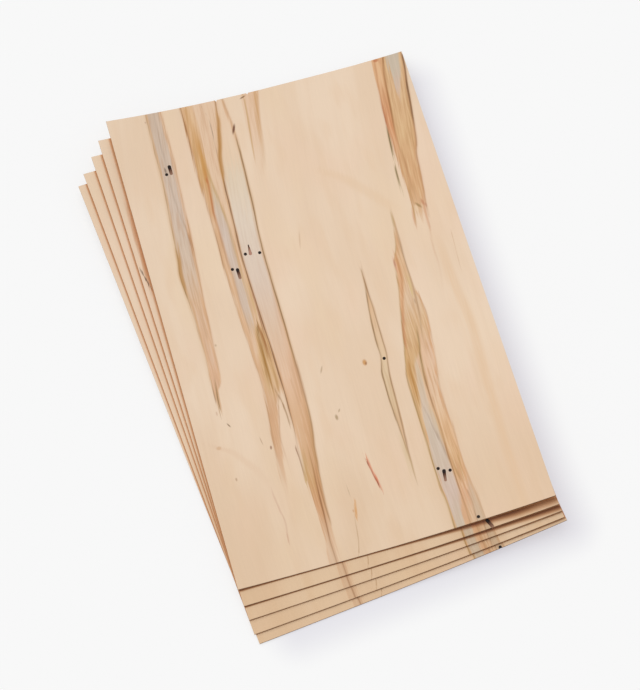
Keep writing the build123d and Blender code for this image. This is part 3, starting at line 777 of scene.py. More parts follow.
def trim(blank, leaf, sizes):
    """Cut the blank along the leaf's four sides, straight down as the guillotine does."""
    centre, across, along = leaf_axes(leaf)
    enter_only(blank)
    bpy.ops.object.mode_set(mode="EDIT")
    for way, half in ((across, leaf_width(leaf, sizes) / 2), (along, sizes.sheet_length / 2)):
        for sign in (1, -1):
            bpy.ops.mesh.select_all(action="SELECT")
            bpy.ops.mesh.bisect(
                plane_co=centre + way * half * sign, plane_no=way * sign,
                clear_outer=True, use_fill=False)
    bpy.ops.object.mode_set(mode="OBJECT")


def apply_modifier(piece, kind, **settings):
    """Add one modifier with its settings and apply it."""
    enter_only(piece)
    made = piece.modifiers.new(kind.title(), kind)
    for name, value in settings.items():
        setattr(made, name, value)
    bpy.ops.object.modifier_apply(modifier=made.name)


def round_cutter(leaf, sizes, height, place, width, bottom, finish):
    """Add a round cutter square to a leaf, from a depth in the leaf to well above it."""
    point = leaf_place(leaf, sizes, place)
    z, normal = surface(leaf, sizes, height, point)
    middle = point + Vector((0, 0, z)) + normal * (bottom + CUTTER_DEPTH) / 2
    bpy.ops.mesh.primitive_cylinder_add(
        vertices=BORE_SIDES, radius=width / 2, depth=CUTTER_DEPTH - bottom, location=middle,
        rotation=normal.to_track_quat("Z", "Y").to_euler())
    bpy.context.object.data.materials.append(finish)
    return bpy.context.object


def cut_away(piece, cutters):
    """Join some cutters, take them out of a piece and remove them."""
    enter_only(cutters[0])
    for cutter in cutters:
        cutter.select_set(True)
    if len(cutters) > 1:
        bpy.ops.object.join()
    tool = bpy.context.object
    apply_modifier(piece, "BOOLEAN", object=tool, operation="DIFFERENCE", solver="EXACT",
                   material_mode="TRANSFER")
    enter_only(tool)
    bpy.ops.object.delete()


def make_leaf(number, sizes, colours):
    """Make one leaf: blank, trimmed, thickened, bored, grooved and chipped."""
    leaf = FAN[number - 1]
    height = (len(FAN) - number) * (sizes.sheet_thickness + sizes.air_gap)
    piece = curled_blank(f"maple_leaf_{number}", leaf, sizes, height)
    trim(piece, leaf, sizes)
    piece.data.materials.append(finish_named("face", colours))
    piece.data.materials.append(finish_named("edge", colours))
    thickness = sizes.sheet_thickness
    apply_modifier(piece, "SOLIDIFY", thickness=thickness, offset=1, material_offset_rim=1)
    through = -2 * thickness
    bored, grooved = finish_named("bore", colours), finish_named("cradle", colours)
    cutters = [
        round_cutter(leaf, sizes, height, place, sizes.bore_diameter, through, bored)
        for place in BORES.get(number, [])
    ]
    for cradle in CRADLES.get(number, []):
        if cradle["open"]:
            cutters.append(round_cutter(
                leaf, sizes, height, cradle["head"], cradle["widths"][0] * MM * HEAD_SHARE, through,
                bored))
    if cutters:
        cut_away(piece, cutters)
    for cradle in CRADLES.get(number, []):
        ends = [
            round_cutter(leaf, sizes, height, cradle[end], width * MM, CRADLE_FLOOR - thickness,
                         grooved)
            for end, width in zip(("head", "tail"), cradle["widths"])
        ]
        enter_only(ends[0])
        ends[1].select_set(True)
        bpy.ops.object.join()
        trough = bpy.context.object
        bpy.ops.object.mode_set(mode="EDIT")
        bpy.ops.mesh.select_all(action="SELECT")
        bpy.ops.mesh.convex_hull()
        bpy.ops.object.mode_set(mode="OBJECT")
        cut_away(piece, [trough])
    for across in CHIPS.get(number, []):
        point = leaf_place(leaf, sizes, (across, -WELD))
        z = surface(leaf, sizes, height, point)[0]
        bpy.ops.object.select_all(action="DESELECT")
        bpy.ops.mesh.primitive_cylinder_add(
            vertices=3, radius=CHIP_REACH, depth=4 * thickness, location=point + Vector((0, 0, z)),
            rotation=(0, 0, radians(leaf["turn"]) + pi))
        cut_away(piece, [bpy.context.object])
    enter_only(piece)
    bpy.ops.object.shade_smooth_by_angle(angle=SMOOTH_ANGLE)
    store_log_places(piece, leaf, number)
    store_cover(piece, number, sizes)
    store_from_head(piece, leaf, sizes, CRADLES.get(number, []))
    return piece


def leaf_axes(leaf):
    """Give a leaf's centre and its directions across and along, level with the floor."""
    turn = radians(leaf["turn"])
    return (Vector((*leaf["centre"], 0)) * MM, Vector((cos(turn), sin(turn), 0)),
            Vector((-sin(turn), cos(turn), 0)))


def leaf_width(leaf, sizes):
    """Give how wide a leaf is, seen from above, once it has curled."""
    wing = (sizes.sheet_width - sizes.flat_strip_width) / 2
    width = sizes.flat_strip_width
    for side in ("left", "right"):
        radius = sizes.curl_radius / leaf[side]
        width += radius * sin(wing / radius)
    return width


def store_log_places(piece, leaf, number):
    """Store where in the log each point lies, so that the pattern runs through the leaf."""
    centre, across, along = leaf_axes(leaf)
    places = piece.data.attributes.new("log_place", "FLOAT_VECTOR", "POINT")
    for vertex, place in zip(piece.data.vertices, places.data):
        off = vertex.co - centre
        place.vector = (
            off.dot(across) / MM - leaf["shift"][0], off.dot(along) / MM - leaf["shift"][1],
            SLICE_STEP * (number - 1))


def store_cover(piece, number, sizes):
    """Store how far each point lies outside the leaf above, and the gap below that leaf."""
    cover = piece.data.attributes.new("cover", "FLOAT_VECTOR", "POINT")
    if number == 1:
        for place in cover.data:
            place.vector = (FAR, FAR, 0)
        return
    above, leaf = FAN[number - 2], FAN[number - 1]
    centre, across, along = leaf_axes(above)
    half = leaf_width(above, sizes) / 2
    step = sizes.sheet_thickness + sizes.air_gap
    for vertex, place in zip(piece.data.vertices, cover.data):
        off = vertex.co - centre
        point = Vector((*vertex.co.xy, 0))
        gap = surface(above, sizes, step, point)[0] - surface(leaf, sizes, 0, point)[0]
        place.vector = (
            (-half - off.dot(across)) / MM, (-sizes.sheet_length / 2 - off.dot(along)) / MM,
            (gap - sizes.sheet_thickness) / MM)


def store_from_head(piece, leaf, sizes, cradles):
    """Store how far each point lies from the nearest cradle's head, in millimetres.

    A closed cradle is stained half as far, so it counts twice.
    """
    heads = [(leaf_place(leaf, sizes, cradle["head"]), 1 if cradle["open"] else 2)
             for cradle in cradles]
    away = piece.data.attributes.new("from_head", "FLOAT", "POINT")
    for vertex, place in zip(piece.data.vertices, away.data):
        point = Vector((*vertex.co.xy, 0))
        place.value = min(((point - head).length / MM * times for head, times in heads), default=0)


def grain(tree, place, across_mm, along_mm, seed, detail):
    """Give noise from 0 to 1 that is drawn out along the grain to this size."""
    spot = add_node(tree, "Mapping", {
        "Vector": place, "Location": (0, 0, seed),
        "Scale": (1 / across_mm, 1 / along_mm, 1)})
    return add_node(tree, "TexNoise", {"Vector": spot, "Scale": 1.0, "Detail": detail})


def stained_band(tree, wood, field, band):
    """Lay a stained band between its two paths, feathered and streaked along the fibres."""
    left = add_node(tree, "FloatCurve", {"Value": field["run"]}, points=band["left"])
    right = add_node(tree, "FloatCurve", {"Value": field["run"]}, points=band["right"])
    from_left = add_node(tree, "Math", {0: field["feathered"], 1: left}, operation="SUBTRACT")
    from_right = add_node(tree, "Math", {0: right, 1: field["feathered"]}, operation="SUBTRACT")
    amount = add_node(tree, "FloatCurve", {"Value": field["along"]}, points=band["strength"],
                      extend="HORIZONTAL")
    for off, soft in zip((from_left, from_right), band["soft"]):
        inside = add_node(tree, "MapRange", {0: off, 1: -soft / 2, 2: soft / 2}, **SOFT)
        amount = add_node(tree, "Math", {0: amount, 1: inside}, operation="MULTIPLY")
    colour = add_node(tree, "ValToRGB", {"Fac": field["step"]}, stops=[
        ((place + REACH) / (2 * REACH), linear(tint)) for place, tint in band["colours"]])
    if "rim" in band:
        tint, wide_left, wide_right, share = band["rim"]
        for off, wide in ((from_left, wide_left), (from_right, wide_right)):
            part = add_node(tree, "MapRange", {
                0: off, 1: RIM_CORE * wide, 2: wide, 3: share, 4: 0.0}, **SOFT)
            colour = add_node(tree, "Mix", {0: part, 6: colour, 7: (*linear(tint), 1)}, **RGBA)
    for streaks in ("dark", "pale"):
        if streaks in band:
            tint, share = band[streaks]
            part = add_node(tree, "Math", {0: field[streaks], 1: share}, operation="MULTIPLY")
            colour = add_node(tree, "Mix", {0: part, 6: colour, 7: (*linear(tint), 1)}, **RGBA)
    return add_node(tree, "Mix", {0: amount, 6: wood, 7: colour}, **RGBA)


def vein(tree, wood, field, path, width, tint, strength, broken, halo=None):
    """Draw a thin line along a path, partly broken up by the fibres, over a soft halo."""
    line = add_node(tree, "FloatCurve", {"Value": field["run"]}, points=path)
    off = add_node(tree, "Math", {0: field["wavering"], 1: line}, operation="SUBTRACT")
    off = add_node(tree, "Math", {0: off}, operation="ABSOLUTE")
    on = add_node(tree, "FloatCurve", {"Value": field["along"]}, points=strength,
                  extend="HORIZONTAL")
    # Past its ends a path runs straight on, so the line stops there.
    low, high = path[0][0] - END_SLACK, path[-1][0] + END_SLACK
    if low > END_MARGIN - REACH or high < REACH - END_MARGIN:
        ends = add_node(tree, "Math", {
            0: field["along"], 1: (low + high) / 2, 2: (high - low) / 2}, operation="COMPARE")
        on = add_node(tree, "Math", {0: on, 1: ends}, operation="MULTIPLY")
    if halo:
        reach, glow, share = halo
        near = add_node(tree, "MapRange", {
            0: off, 1: HALO_CORE * reach, 2: reach, 3: share, 4: 0.0}, **SOFT)
        amount = add_node(tree, "Math", {0: near, 1: on}, operation="MULTIPLY")
        wood = add_node(tree, "Mix", {0: amount, 6: wood, 7: (*linear(glow), 1)}, **RGBA)
    near = add_node(tree, "MapRange", {
        0: off, 1: LINE_CORE * width, 2: LINE_EDGE * width, 3: 1.0, 4: 0.0}, **SOFT)
    whole = add_node(tree, "MapRange", {
        0: field["fibres"], 1: BREAKS[0], 2: BREAKS[1], 3: 1.0 - broken, 4: 1.0}, **SOFT)
    amount = add_node(tree, "Math", {0: near, 1: on}, operation="MULTIPLY")
    amount = add_node(tree, "Math", {0: amount, 1: whole}, operation="MULTIPLY")
    return add_node(tree, "Mix", {0: amount, 6: wood, 7: (*linear(tint), 1)}, **RGBA)


def mark(tree, wood, field, where, half, turn, tint, strength):
    """Put a small oval mark on the wood."""
    near = add_node(tree, "Mapping", {
        "Vector": field["place"], "Location": (*where, 0), "Rotation": (0, 0, radians(turn)),
        "Scale": (MARK_REACH * half[0], MARK_REACH * half[1], 1)}, vector_type="TEXTURE")
    ball = add_node(tree, "TexGradient", {"Vector": near}, out="Fac", gradient_type="SPHERICAL")
    amount = add_node(tree, "MapRange", {0: ball, 1: 0.0, 2: MARK_CORE, 3: 0.0, 4: strength},
                      **SOFT)
    return add_node(tree, "Mix", {0: amount, 6: wood, 7: (*linear(tint), 1)}, **RGBA)


def log_field(tree):
    """Give the places in the log, in millimetres, and the noises that follow its grain."""
    place = add_node(tree, "Attribute", out="Vector", attribute_name="log_place")
    flat = add_node(tree, "VectorMath", {0: place, 1: (1, 1, 0)}, operation="MULTIPLY")
    across, along, leaf = add_node(tree, "SeparateXYZ", {0: place}).node.outputs

    # The grain bends to the left as it comes nearer, and every noise follows it.
    bend = add_node(tree, "FloatCurve", {"Value": along}, points=GRAIN_BEND)
    straight = add_node(tree, "Math", {0: across, 1: bend}, operation="SUBTRACT")
    fibre_place = add_node(tree, "CombineXYZ", {0: straight, 1: along, 2: leaf})
    fibres = grain(tree, fibre_place, *FIBRES)
    sway = grain(tree, fibre_place, *SWAY)
    streaks = grain(tree, fibre_place, *STREAKS)
    drift = add_node(tree, "Math", {0: sway, 1: DRIFT, 2: -DRIFT / 2}, operation="MULTIPLY_ADD")
    drift = add_node(tree, "Math", {0: drift, 1: across}, operation="ADD")
    wisp = add_node(tree, "Math", {0: fibres, 1: 0.5}, operation="SUBTRACT")
    # Each fibre takes the stain up a little further or less far than its neighbours.
    ragged = add_node(tree, "Math", {0: wisp, 1: RAGGED_END, 2: along}, operation="MULTIPLY_ADD")
    run = add_node(tree, "Math", {0: wisp, 1: RAGGED_TURN, 2: along}, operation="MULTIPLY_ADD")
    step = add_node(tree, "MapRange", {0: ragged, 1: -REACH, 2: REACH}, clamp=False)
    return {
        "place": flat, "own_along": along, "along": ragged, "run": run, "step": step,
        "leaf": leaf, "fibre_place": fibre_place, "fibres": fibres,
        "dark": add_node(tree, "MapRange", {
            0: streaks, 1: DARK_FIBRES[0], 2: DARK_FIBRES[1]}, **SOFT),
        "pale": add_node(tree, "MapRange", {
            0: streaks, 1: PALE_FIBRES[0], 2: PALE_FIBRES[1]}, **SOFT),
        "feathered": add_node(tree, "Math", {
            0: wisp, 1: FEATHER, 2: drift}, operation="MULTIPLY_ADD"),
        "wavering": add_node(tree, "Math", {
            0: wisp, 1: WAVER, 2: drift}, operation="MULTIPLY_ADD"),
    }


def clear_maple(tree, field, maple):
    """Clear sapwood: broad soft clouds of cream and pink, thin stripes and a faint figure."""
    def tinted(shares):
        return (*(part * share for part, share in zip(maple, shares)), 1)

    wood = tinted(GROUND_TONE)
    for across_mm, along_mm, seed, low, high, most, shares in CLEAR_TONES:
        noise = grain(tree, field["fibre_place"], across_mm, along_mm, seed, 1.0)
        amount = add_node(tree, "MapRange", {0: noise, 1: low, 2: high, 3: 0.0, 4: most}, **SOFT)
        wood = add_node(tree, "Mix", {0: amount, 6: wood, 7: tinted(shares)}, **RGBA)
    turned = add_node(tree, "Mapping", {
        "Vector": field["place"], "Rotation": (0, 0, FIGURE_TURN),
        "Scale": (1 / FIGURE_SIZE[0], 1 / FIGURE_SIZE[1], 1)})
    figure = add_node(tree, "TexNoise", {"Vector": turned, "Scale": 1.0, "Detail": 2.0})
    amount = add_node(tree, "MapRange", {
        0: figure, 1: FIGURE_NOISE[0], 2: FIGURE_NOISE[1], 3: 0.0, 4: FIGURE_STRENGTH}, **SOFT)
    wood = add_node(tree, "Mix", {0: amount, 6: wood, 7: tinted(FIGURE_TONE)}, **RGBA)
    # Painted light and shade: the left wing a shade paler, the right wing a shade darker, against
    # the key light that falls brighter on the right wing.
    tone = add_node(tree, "MapRange", {
        0: field["wavering"], 1: -SIDE, 2: SIDE, 3: PAINTED_LEFT_LIGHT, 4: PAINTED_RIGHT_SHADE}, clamp=False)
    wood = add_node(tree, "VectorMath", {0: wood, "Scale": tone}, operation="SCALE")
    # The near end is a shade browner.
    amount = add_node(tree, "MapRange", {
        0: field["along"], 1: NEAR_END[0], 2: NEAR_END[1]}, **SOFT)
    return add_node(tree, "Mix", {
        0: amount, 6: wood, 7: (*NEAR_END_TONE, 1)}, **RGBA, blend_type="MULTIPLY")


def covered_shade(tree, wood, field):
    """Darken the wood beside the leaf above, lightly on the lit side, deeply on the near side.

    The studio light alone leaves too little shade in so thin a gap, so it is drawn on the
    wood. It goes by the distance from the leaf above and by the gap below that leaf.
    """
    cover = add_node(tree, "Attribute", out="Vector", attribute_name="cover")
    outside = add_node(tree, "VectorMath", {0: cover, 1: (0, 0, 0)}, operation="MAXIMUM")
    beside, before, gap = add_node(tree, "SeparateXYZ", {0: outside}).node.outputs
    softer = add_node(tree, "MapRange", {
        0: gap, 1: SOFT_GAPS[0], 2: SOFT_GAPS[1], 3: 1.0, 4: SOFT_SHARE}, **SOFT)
    gap = add_node(tree, "Math", {0: gap, 1: WIDEST_GAP}, operation="MINIMUM")
    level = add_node(tree, "CombineXYZ", {0: beside, 1: before, 2: 0.0})
    away = add_node(tree, "VectorMath", {0: level}, out="Value", operation="LENGTH")
    near_share = add_node(tree, "Math", {0: away, 1: CORNER_SLACK}, operation="ADD")
    near_share = add_node(tree, "Math", {0: before, 1: near_share}, operation="DIVIDE")
    left_share = add_node(tree, "Math", {0: 1.0, 1: near_share}, operation="SUBTRACT")
    lower = add_node(tree, "MapRange", {
        0: field["leaf"], 1: 2 * SLICE_STEP, 2: 3 * SLICE_STEP, 3: 1.0, 4: LOWER_SHARE}, **SOFT)
    near_share = add_node(tree, "Math", {0: near_share, 1: lower}, operation="MULTIPLY")
    near_share = add_node(tree, "Math", {0: near_share, 1: softer}, operation="MULTIPLY")
    lower_gap = add_node(tree, "MapRange", {
        0: field["leaf"], 1: 2 * SLICE_STEP, 2: 3 * SLICE_STEP, 3: 1.0, 4: LOWER_GAP}, **SOFT)
    near_gap = add_node(tree, "Math", {0: gap, 1: lower_gap}, operation="MULTIPLY")
    for side, tint, starts, ends, share in COVER_SHADES:
        part, air = (near_share, near_gap) if side == "near" else (left_share, gap)
        start = add_node(tree, "Math", {0: air, 1: starts[1], 2: starts[0]},
                         operation="MULTIPLY_ADD")
        end = add_node(tree, "Math", {0: air, 1: ends[1], 2: ends[0]}, operation="MULTIPLY_ADD")
        amount = add_node(tree, "MapRange", {0: away, 1: start, 2: end, 3: share, 4: 0.0}, **SOFT)
        amount = add_node(tree, "Math", {0: amount, 1: part}, operation="MULTIPLY")
        wood = add_node(tree, "Mix", {
            0: amount, 6: wood, 7: (*BOUNCE_TINT, 1)}, **RGBA, blend_type="MULTIPLY")
        wood = add_node(tree, "Mix", {0: amount, 6: wood, 7: (*linear(tint), 1)}, **RGBA)
    return wood


def maple_finish(colours):
    """Spalted maple sliced into veneer, raw and unsanded: matt, with a soft silky grain."""
    finish = bpy.data.materials.new("raw_sliced_spalted_maple")
    finish.use_nodes = True
    tree = finish.node_tree
    shader = tree.nodes["Principled BSDF"]
    field = log_field(tree)
    wood = clear_maple(tree, field, colours.maple)
    for band in BANDS:
        wood = stained_band(tree, wood, field, band)
    for line in VEINS:
        wood = vein(tree, wood, field, *line)
    for spot in MARKS:
        wood = mark(tree, wood, field, *spot)
    cracked = wood
    for line in SECOND_LEAF_VEINS:
        cracked = vein(tree, cracked, field, *line)
    second = add_node(tree, "Math", {
        0: field["leaf"], 1: SLICE_STEP, 2: SLICE_STEP / 2}, operation="COMPARE")
    wood = add_node(tree, "Mix", {0: second, 6: wood, 7: cracked}, **RGBA)
    # Painted shade: the near ends of the slices below the top leaf are darker, in the shade of the
    # leaves above.
    below = add_node(tree, "MapRange", {0: field["leaf"], 1: 0.0, 2: SLICE_STEP}, **SOFT)
    nearer = add_node(tree, "MapRange", {
        0: field["along"], 1: LOWER_LEAF_SHADE_END[0], 2: LOWER_LEAF_SHADE_END[1]}, **SOFT)
    below = add_node(tree, "Math", {0: below, 1: nearer}, operation="MULTIPLY")
    wood = add_node(tree, "Mix", {
        0: below, 6: wood, 7: (*LOWER_LEAF_SHADE, 1)}, **RGBA, blend_type="MULTIPLY")
    wood = covered_shade(tree, wood, field)
    # Painted shade along the leaf's own near edge: the dark line of the gap under it.
    near_edge_shade = add_node(tree, "MapRange", {
        0: field["own_along"], 1: NEAR_EDGE_SHADE_WIDTH - HALF_LENGTH, 2: -HALF_LENGTH, 3: 0.0,
        4: NEAR_EDGE_SHADE_SHARE}, **SOFT)
    wood = add_node(tree, "Mix", {0: near_edge_shade, 6: wood, 7: (*linear(NEAR_EDGE_SHADE_COLOUR), 1)}, **RGBA)
    # The fibres themselves, down to about a third of a millimetre.
    fine = grain(tree, field["fibre_place"], *FINE_GRAIN)
    both = add_node(tree, "Math", {0: fine, 1: field["fibres"]}, operation="ADD")
    tone = add_node(tree, "MapRange", {
        0: both, 1: FINE_SUMS[0], 2: FINE_SUMS[1], 3: FINE_TONES[0], 4: FINE_TONES[1]},
        clamp=False)
    wood = add_node(tree, "VectorMath", {0: wood, "Scale": tone}, operation="SCALE")
    tree.links.new(wood, shader.inputs["Base Color"])
    shader.inputs["Roughness"].default_value = FACE_ROUGHNESS
    return finish


def edge_finish(colours):
    """Maple edges cut by the guillotine: the ends across the grain are dark, partly as end grain
    and partly as painted shade.
    """
    finish = bpy.data.materials.new("maple_edge_with_painted_shade")
    finish.use_nodes = True
    tree = finish.node_tree
    shader = tree.nodes["Principled BSDF"]
    place = add_node(tree, "Attribute", out="Vector", attribute_name="log_place")
    along = add_node(tree, "SeparateXYZ", {0: place}, out="Y")
    along = add_node(tree, "Math", {0: along}, operation="ABSOLUTE")
    # The long edges are cut along the grain, and their closed fibres stay pale; only the cut ends
    # carry painted shade.
    long_edge = add_node(tree, "Math", {
        0: along, 1: HALF_LENGTH - EDGE_SLACK}, operation="LESS_THAN")
    wood = add_node(tree, "Mix", {
        0: long_edge, 6: (*colours.cut_end_and_shade, 1), 7: (*colours.long_edge, 1)}, **RGBA)
    tree.links.new(wood, shader.inputs["Base Color"])
    shader.inputs["Roughness"].default_value = EDGE_ROUGHNESS
    return finish


def bore_finish(colours):
    """The beetle's gallery, blackened by its fungus: dull, rough and nearly black."""
    finish = bpy.data.materials.new("fungus_blackened_gallery")
    finish.use_nodes = True
    shader = finish.node_tree.nodes["Principled BSDF"]
    shader.inputs["Base Color"].default_value = (*colours.gallery, 1)
    shader.inputs["Roughness"].default_value = GALLERY_ROUGHNESS
    return finish


def cradle_finish(colours):
    """The beetle's egg cradle, stained by the same fungus: black at its head, brown beyond."""
    finish = bpy.data.materials.new("fungus_stained_cradle")
    finish.use_nodes = True
    tree = finish.node_tree
    shader = tree.nodes["Principled BSDF"]
    away = add_node(tree, "Attribute", out="Fac", attribute_name="from_head")
    away = add_node(tree, "Math", {0: away, 1: CRADLE_REACH}, operation="DIVIDE")
    stain = add_node(tree, "ValToRGB", {"Fac": away}, stops=[
        (place / CRADLE_REACH, linear(tint)) for place, tint in CRADLE_STAIN])
    tree.links.new(stain, shader.inputs["Base Color"])
    shader.inputs["Roughness"].default_value = GALLERY_ROUGHNESS
    return finish


FINISHES = {}


def finish_named(name, colours):
    """Give one of the wood's finishes, made when it is first needed."""
    if name not in FINISHES:
        make = {"face": maple_finish, "edge": edge_finish, "bore": bore_finish,
                "cradle": cradle_finish}[name]
        FINISHES[name] = make(colours)
    return FINISHES[name]


class VENEER_OT_leaf(bpy.types.Operator):
    """Add one curled leaf of spotted maple, with its bores, cradles and finish"""
    bl_idname = "veneer.leaf"
    bl_label = "Add Leaf"
    bl_options = {"REGISTER", "UNDO"}

    number: bpy.props.IntProperty(
        name="Leaf", description="Which leaf, counted from the top", default=1, min=1, max=5)

    def execute(self, context):
        piece = make_leaf(self.number, context.scene.veneer_sizes, context.scene.veneer_colours)
        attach(piece, "root")
        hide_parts(f"veneer_sheet_{self.number}")
        return {"FINISHED"}


class VENEER_OT_frass(bpy.types.Operator):
    """Plug the beetle's bores and open cradle heads with dark frass, just below the surface"""
    bl_idname = "veneer.frass"
    bl_label = "Add Frass Plugs"
    bl_options = {"REGISTER", "UNDO"}

    def execute(self, context):
        sizes = context.scene.veneer_sizes
        plugs = []
        for number, leaf in enumerate(FAN, 1):
            height = (len(FAN) - number) * (sizes.sheet_thickness + sizes.air_gap)
            holes = [(place, sizes.bore_diameter) for place in BORES.get(number, [])]
            holes += [(cradle["head"], cradle["widths"][0] * MM * HEAD_SHARE)
                      for cradle in CRADLES.get(number, []) if cradle["open"]]
            for place, width in holes:
                point = leaf_place(leaf, sizes, place)
                z, normal = surface(leaf, sizes, height, point)
                middle = point + Vector((0, 0, z)) - normal * (PLUG_SINK + PLUG_DEPTH / 2)
                bpy.ops.object.select_all(action="DESELECT")
                bpy.ops.mesh.primitive_cylinder_add(
                    vertices=BORE_SIDES, radius=width / 2 - PLUG_PLAY, depth=PLUG_DEPTH,
                    location=middle, rotation=normal.to_track_quat("Z", "Y").to_euler())
                plug = bpy.context.object
                bpy.ops.object.mode_set(mode="EDIT")
                centre, _, along = leaf_axes(leaf)
                bpy.ops.mesh.bisect(
                    plane_co=centre - along * (sizes.sheet_length / 2 - PLUG_SINK),
                    plane_no=-along, clear_outer=True, use_fill=True)
                bpy.ops.object.mode_set(mode="OBJECT")
                plugs.append(plug)
        enter_only(plugs[0])
        for plug in plugs:
            plug.select_set(True)
        bpy.ops.object.join()
        bpy.ops.object.transform_apply(location=True, rotation=True, scale=True)
        piece = context.object
        piece.name = piece.data.name = "frass_plugs"
        piece.data.materials.clear()
        piece.data.materials.append(finish_named("bore", context.scene.veneer_colours))
        bpy.ops.object.shade_smooth_by_angle(angle=SMOOTH_ANGLE)
        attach(piece, "root")
        return {"FINISHED"}


class VENEER_OT_stage(bpy.types.Operator):
    """Add the pale floor, the soft light and the camera"""
    bl_idname = "veneer.stage"
    bl_label = "Add Stage"
    bl_options = {"REGISTER", "UNDO"}

    def execute(self, context):
        scene = context.scene
        bpy.ops.object.select_all(action="DESELECT")
        bpy.ops.mesh.primitive_plane_add(size=FLOOR_SIZE, location=(0, 0, -FLOOR_DROP))
        floor = context.object
        floor.name = "floor"
        floor.data.materials.append(floor_finish(scene.veneer_colours))

        towards = Vector((*KEY_FROM, 0)) * -cos(KEY_RISE) - Vector((0, 0, sin(KEY_RISE)))
        bpy.ops.object.light_add(type="SUN", rotation=towards.to_track_quat("-Z", "Y").to_euler())
        sun = context.object
        sun.name = "window_light"
        sun.data.energy = KEY_LEVEL * pi / sin(KEY_RISE)
        sun.data.angle = KEY_SPREAD
        sun.data.color = linear(LIGHT_COLOUR)

        world = bpy.data.worlds.new("soft_room")
        scene.world = world
        world.use_nodes = True
        tree = world.node_tree
        tree.nodes.clear()
        ray = add_node(tree, "LightPath", out="Is Camera Ray")
        fill = add_node(tree, "Background", {
            "Color": (*linear(LIGHT_COLOUR), 1), "Strength": FILL_LEVEL})
        seen = add_node(tree, "Background", {
            "Color": (*scene.veneer_colours.floor, 1), "Strength": 1.0})
        both = add_node(tree, "MixShader", {0: ray, 1: fill, 2: seen})
        add_node(tree, "OutputWorld", {"Surface": both}, out=None)

        camera = bpy.data.cameras.new("camera")
        camera.sensor_width = SENSOR
        camera.lens = LENS
        lens = bpy.data.objects.new("camera", camera)
        scene.collection.objects.link(lens)
        back = Vector((
            sin(CAMERA_TURN) * cos(CAMERA_RISE),
            -cos(CAMERA_TURN) * cos(CAMERA_RISE),
            sin(CAMERA_RISE),
        ))
        lens.location = Vector(CAMERA_AIM) + back * CAMERA_DISTANCE
        lens.rotation_euler = (-back).to_track_quat("-Z", "Y").to_euler()
        camera.clip_start, camera.clip_end = CLIP
        scene.camera = lens
        scene.view_settings.view_transform = "Standard"
        return {"FINISHED"}


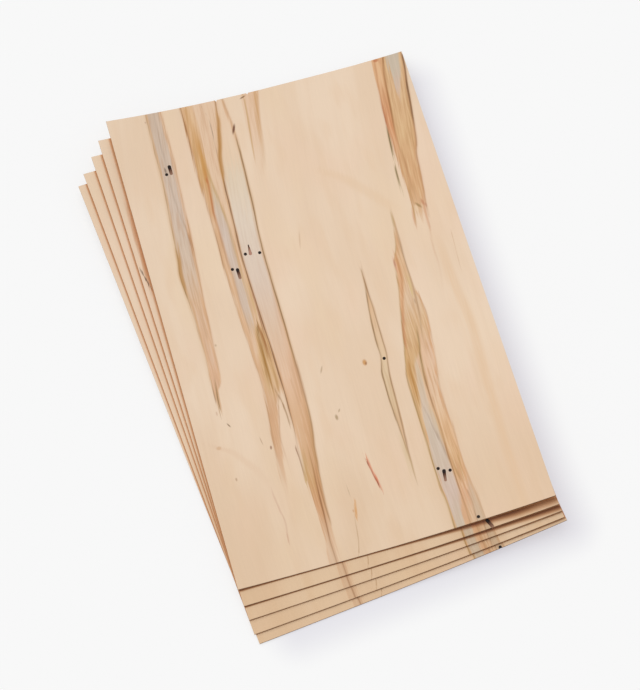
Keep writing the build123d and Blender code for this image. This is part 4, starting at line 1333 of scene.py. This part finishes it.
def floor_finish(colours):
    """Matt white studio paper, seen part lit and part plain, so that its shadow is faint."""
    finish = bpy.data.materials.new("matt_studio_paper")
    finish.use_nodes = True
    tree = finish.node_tree
    tree.nodes.clear()
    ray = add_node(tree, "LightPath").node.outputs
    seen = add_node(tree, "Math", {
        0: ray["Is Camera Ray"], 1: ray["Is Glossy Ray"]}, operation="MAXIMUM")
    seen = add_node(tree, "Math", {0: seen, 1: ray["Is Transmission Ray"]}, operation="MAXIMUM")
    share = add_node(tree, "Math", {0: seen, 1: FLOOR_PLAIN_SHARE}, operation="MULTIPLY")
    place = add_node(tree, "TexCoord", out="Object")
    away = []
    inset = SHADOW_INSET * MM / 2
    half = (HALF_WIDTH - SHADOW_INSET / 2, HALF_LENGTH - SHADOW_INSET / 2, FAR)
    for leaf in (FAN[index] for index in SHADOW_LEAVES):
        turn = radians(leaf["turn"])
        on_leaf = add_node(tree, "Mapping", {
            "Vector": place, "Rotation": (0, 0, turn), "Scale": (MM, MM, MM), "Location": (
                leaf["centre"][0] * MM + inset * (cos(turn) + sin(turn)),
                leaf["centre"][1] * MM + inset * (sin(turn) - cos(turn)), 0)},
            vector_type="TEXTURE")
        out = add_node(tree, "VectorMath", {0: on_leaf}, operation="ABSOLUTE")
        out = add_node(tree, "VectorMath", {0: out, 1: half}, operation="SUBTRACT")
        out = add_node(tree, "VectorMath", {0: out, 1: (0, 0, 0)}, operation="MAXIMUM")
        away.append(add_node(tree, "VectorMath", {0: out}, out="Value", operation="LENGTH"))
    # Painted shadow: the plain share of the paper darkens as it nears the pile's right and near
    # edges.
    nearest = add_node(tree, "Math", {0: away[0], 1: away[1]}, operation="MINIMUM")
    nearest = add_node(tree, "Math", {0: nearest, 1: away[2]}, operation="MINIMUM")
    depth = add_node(tree, "MapRange", {
        0: nearest, 1: 0.0, 2: SHADOW_REACH, 3: 1.0, 4: 0.0}, interpolation_type="SMOOTHSTEP")
    shade = add_node(tree, "VectorMath", {0: SHADOW_DEPTH, "Scale": depth}, operation="SCALE")
    kept = add_node(tree, "VectorMath", {0: (1, 1, 1), 1: shade}, operation="SUBTRACT")
    paper = add_node(tree, "VectorMath", {0: tuple(colours.floor), 1: kept}, operation="MULTIPLY")
    lit = add_node(tree, "BsdfDiffuse", {"Color": (*colours.floor, 1)})
    plain = add_node(tree, "Emission", {"Color": paper, "Strength": 1.0})
    both = add_node(tree, "MixShader", {0: share, 1: lit, 2: plain})
    add_node(tree, "OutputMaterial", {"Surface": both}, out=None)
    return finish


class VENEER_PT_panel(bpy.types.Panel):
    """Lists the leaves and the stage, with the sizes and colours to change"""
    bl_idname = "VENEER_PT_panel"
    bl_label = "Veneer Pack"
    bl_space_type = "VIEW_3D"
    bl_region_type = "UI"
    bl_category = "Veneer"

    def draw(self, context):
        layout = self.layout
        for group in (context.scene.veneer_sizes, context.scene.veneer_colours):
            for name in group.bl_rna.properties.keys():
                if name not in ("rna_type", "name"):
                    layout.prop(group, name)
        for number in range(1, len(FAN) + 1):
            layout.operator("veneer.leaf", text=f"Add Leaf {number}").number = number
        layout.operator("veneer.frass")
        layout.operator("veneer.stage")


CLASSES = (
    VeneerSizes, VeneerColours, VENEER_OT_leaf, VENEER_OT_frass, VENEER_OT_stage, VENEER_PT_panel)


def register():
    """Register the classes and hang the sizes and colours on the scene."""
    for cls in CLASSES:
        bpy.utils.register_class(cls)
    bpy.types.Scene.veneer_sizes = bpy.props.PointerProperty(type=VeneerSizes)
    bpy.types.Scene.veneer_colours = bpy.props.PointerProperty(type=VeneerColours)


def unregister():
    """Take the sizes, the colours and the classes away again."""
    del bpy.types.Scene.veneer_colours
    del bpy.types.Scene.veneer_sizes
    for cls in reversed(CLASSES):
        bpy.utils.unregister_class(cls)


def main():
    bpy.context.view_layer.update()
    register()
    for number in range(1, len(FAN) + 1):
        bpy.ops.veneer.leaf(number=number)
    bpy.ops.veneer.frass()
    bpy.ops.veneer.stage()


if __name__ == "__main__":
    main()
